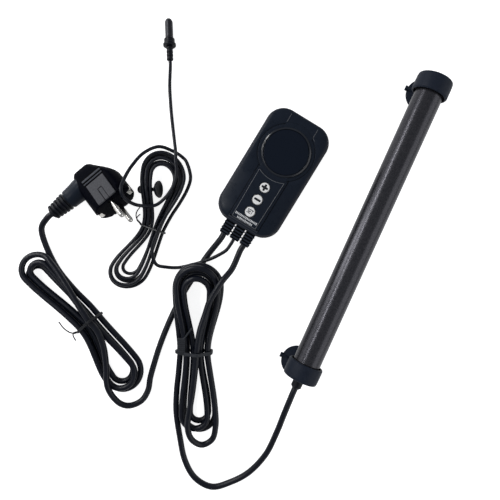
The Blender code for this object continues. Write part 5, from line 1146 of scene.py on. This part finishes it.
def sensorCup():
    # a small cup whose stem ends in a ring for the probe, on its side
    cup = softened([(0.2, 13.1), (4.0, 13.7), (7.2, 15.5), (8.0, 15.5), (8.0, 14.8), (6.8, 12.9), (3.6, 11.1),
                    (2.0, 10.2), (1.8, 8.5), (1.8, 0.0), (0.2, 0.0)], [0, 2, 0.3, 0.2, 0.4, 1.5, 1.5, 1, 1, 0, 0], 5)
    parts = [turnedPart(cup, 56)]
    ring = softened([(2.2, -2.2), (3.8, -2.2), (3.8, 2.2), (2.2, 2.2), (2.2, -2.2)], [0, 0.4, 0.4, 0.4, 0], 4)[:-1]
    parts.append(placed(turnedPart(ring, 48, closed=True), turnedAbout("y", 90), (0, 0, -2.2)))
    piece("sensorCup", [placed(p, clipTurn, clipSpot) for p in parts], "softRubber",
          replaces=["sensor_suction_cup"])


probe()
sensorCup()
print("probe made")


# ---- ties

def waistOutline(hank, extra, radius):
    # the tightest outline round the cords that cross the waist: the outer points of circles of one radius
    spots = hankLoops(hank, np.arange(0, hank["turns"] + 0.01, 0.5))
    right = hankAxes(hank)[1]
    centres = [((s[:2] - hank["waist"]) @ right, s[2]) for s in spots]
    centres += [(across, onHank(hank, across, 0, level)[0, 2]) for across, level in extra]
    a = np.linspace(0, 2 * np.pi, 72, endpoint=False)
    out = np.stack([np.cos(a), np.sin(a)], 1)
    centres = np.array(centres)
    return centres[(centres @ out.T).argmax(0)] + radius * out


def tieHead(left):
    # a block above the strands with seven ribs across it
    parts = slabParts(roundedBox(7.6, 14.0, 1.2, 0.4, left + 7.4, 7.6), [], 14.6, 17.6, 0.5)
    for k in range(7):
        parts += slabParts(roundedBox(7.2, 0.9, 0.2, 0.3, left + 7.4, 2.2 + 1.8 * k), [], 17.4, 18.1, 0.2)
    return parts


def band(name, node, hank, extra, wide, thick, look, tails=(), head=False):
    # the waist's outline carried round a rounded oblong section; tails start from the band's left side
    clear = hank["diameter"] / 2 + 0.3 + 0.3 * wide / 2
    half = wide / 2
    section = ((0, 0.1 - half), (0.12, -half), (0.8, -half), (1, 0.2 - half), (1, half - 0.2), (0.8, half),
               (0.12, half), (0, half - 0.1))
    rows = []
    for share, along in section:
        line = waistOutline(hank, extra, clear + share * thick)
        rows.append(np.column_stack([line[:, 0], np.full(len(line), along), line[:, 1]]))
    parts = [gridPart(np.stack(rows), along=True)]
    left = min(rows[3][:, 0])
    for path, radius in tails:
        parts.append(sweptPart(smoothLine(np.array(path, float) + (left, 0, 0), 0.5), radius, 10))
    if head:
        parts += tieHead(left)
    turn = turnedAbout("z", hank["axis"] - 90)
    piece(name, [placed(p, turn, (*hank["waist"], 0)) for p in parts], look, replaces=[node])


def twisted(start, end, radius, turns, hand):
    # one of two wires wound round each other between two points
    t = np.linspace(0, 1, 60)[:, None]
    start, end = np.array(start, float), np.array(end, float)
    ahead = (end - start) / np.linalg.norm(end - start)
    side = np.cross(ahead, (0.2, 0.3, 1))
    side /= np.linalg.norm(side)
    rise = np.cross(side, ahead)
    a = 2 * np.pi * turns * t + (np.pi if hand else 0)
    return start + (end - start) * t + radius * (side * np.cos(a) + rise * np.sin(a))


# each tail is (points, radius); two of them start as wires wound round each other
mainsTails = [(twisted((0.3, 0, 6), (-5, 2.5, 7.2), 0.6, 2.5, hand), 0.55) for hand in (0, 1)]
mainsTails += [([(-5, 2.5, 7.2), (-7, 6, 7.6), (-8.6, 12, 7.0), (-9, 19.5, 5.2)], 0.6),
               ([(-5, 2.5, 7.2), (-7, 0.5, 6.0), (-8.6, -4, 4.4)], 0.6)]
heaterTails = [([(9.0, 13.0, 16.8), (11.5, 16.0, 17.4), (14.0, 19.5, 18.2), (17.5, 24.0, 19.0)], 0.9)]
sensorTails = [(twisted((0.3, 0, 4), (-4.5, 2.6, 5.5), 0.5, 2.5, hand), 0.48) for hand in (0, 1)]
sensorTails += [([(-4.5, 2.6, 5.5), (-6.6, 6, 6.4), (-7, 10, 7.0), (-5.4, 16, 7.0)], 0.5),
                ([(-4.5, 2.6, 5.5), (-5.2, 5, 6.2), (-3.4, 8.6, 6.6)], 0.5)]
band("mainsTie", "mains_tie", mainsHank, (), 2.2, 0.9, "wireTie", mainsTails)
band("heaterTie", "heater_tie", heaterHank, [(2.2, 2.1)], 3.0, 1.3, "tieBand", heaterTails, True)
band("sensorTie", "sensor_tie", sensorHank, (), 1.6, 0.8, "wireTie", sensorTails)
print("ties made")


# ---- what stays as packed gets its finish

looks = {
    "winding": ["heating_coil"], "ceramic": ["core_former", "lower_spacer", "upper_spacer", "fuse_holder"],
    "chrome": ["thermal_cutout", "housing_screw_1", "housing_screw_2", "housing_screw_3", "housing_screw_4"],
    "softRubber": ["stopper_seal", "housing_seal"], "board": ["main_board"], "relay": ["mains_relay"],
    "component": ["display_holder", "power_module", "smoothing_capacitor", "plus_switch", "minus_switch", "set_switch"],
    "gloss": ["display_module"],
}
for look, names in looks.items():
    for name in names:
        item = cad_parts[name]
        item.data.materials.clear()
        item.data.materials.append(finish(look))
print("packed pieces finished")
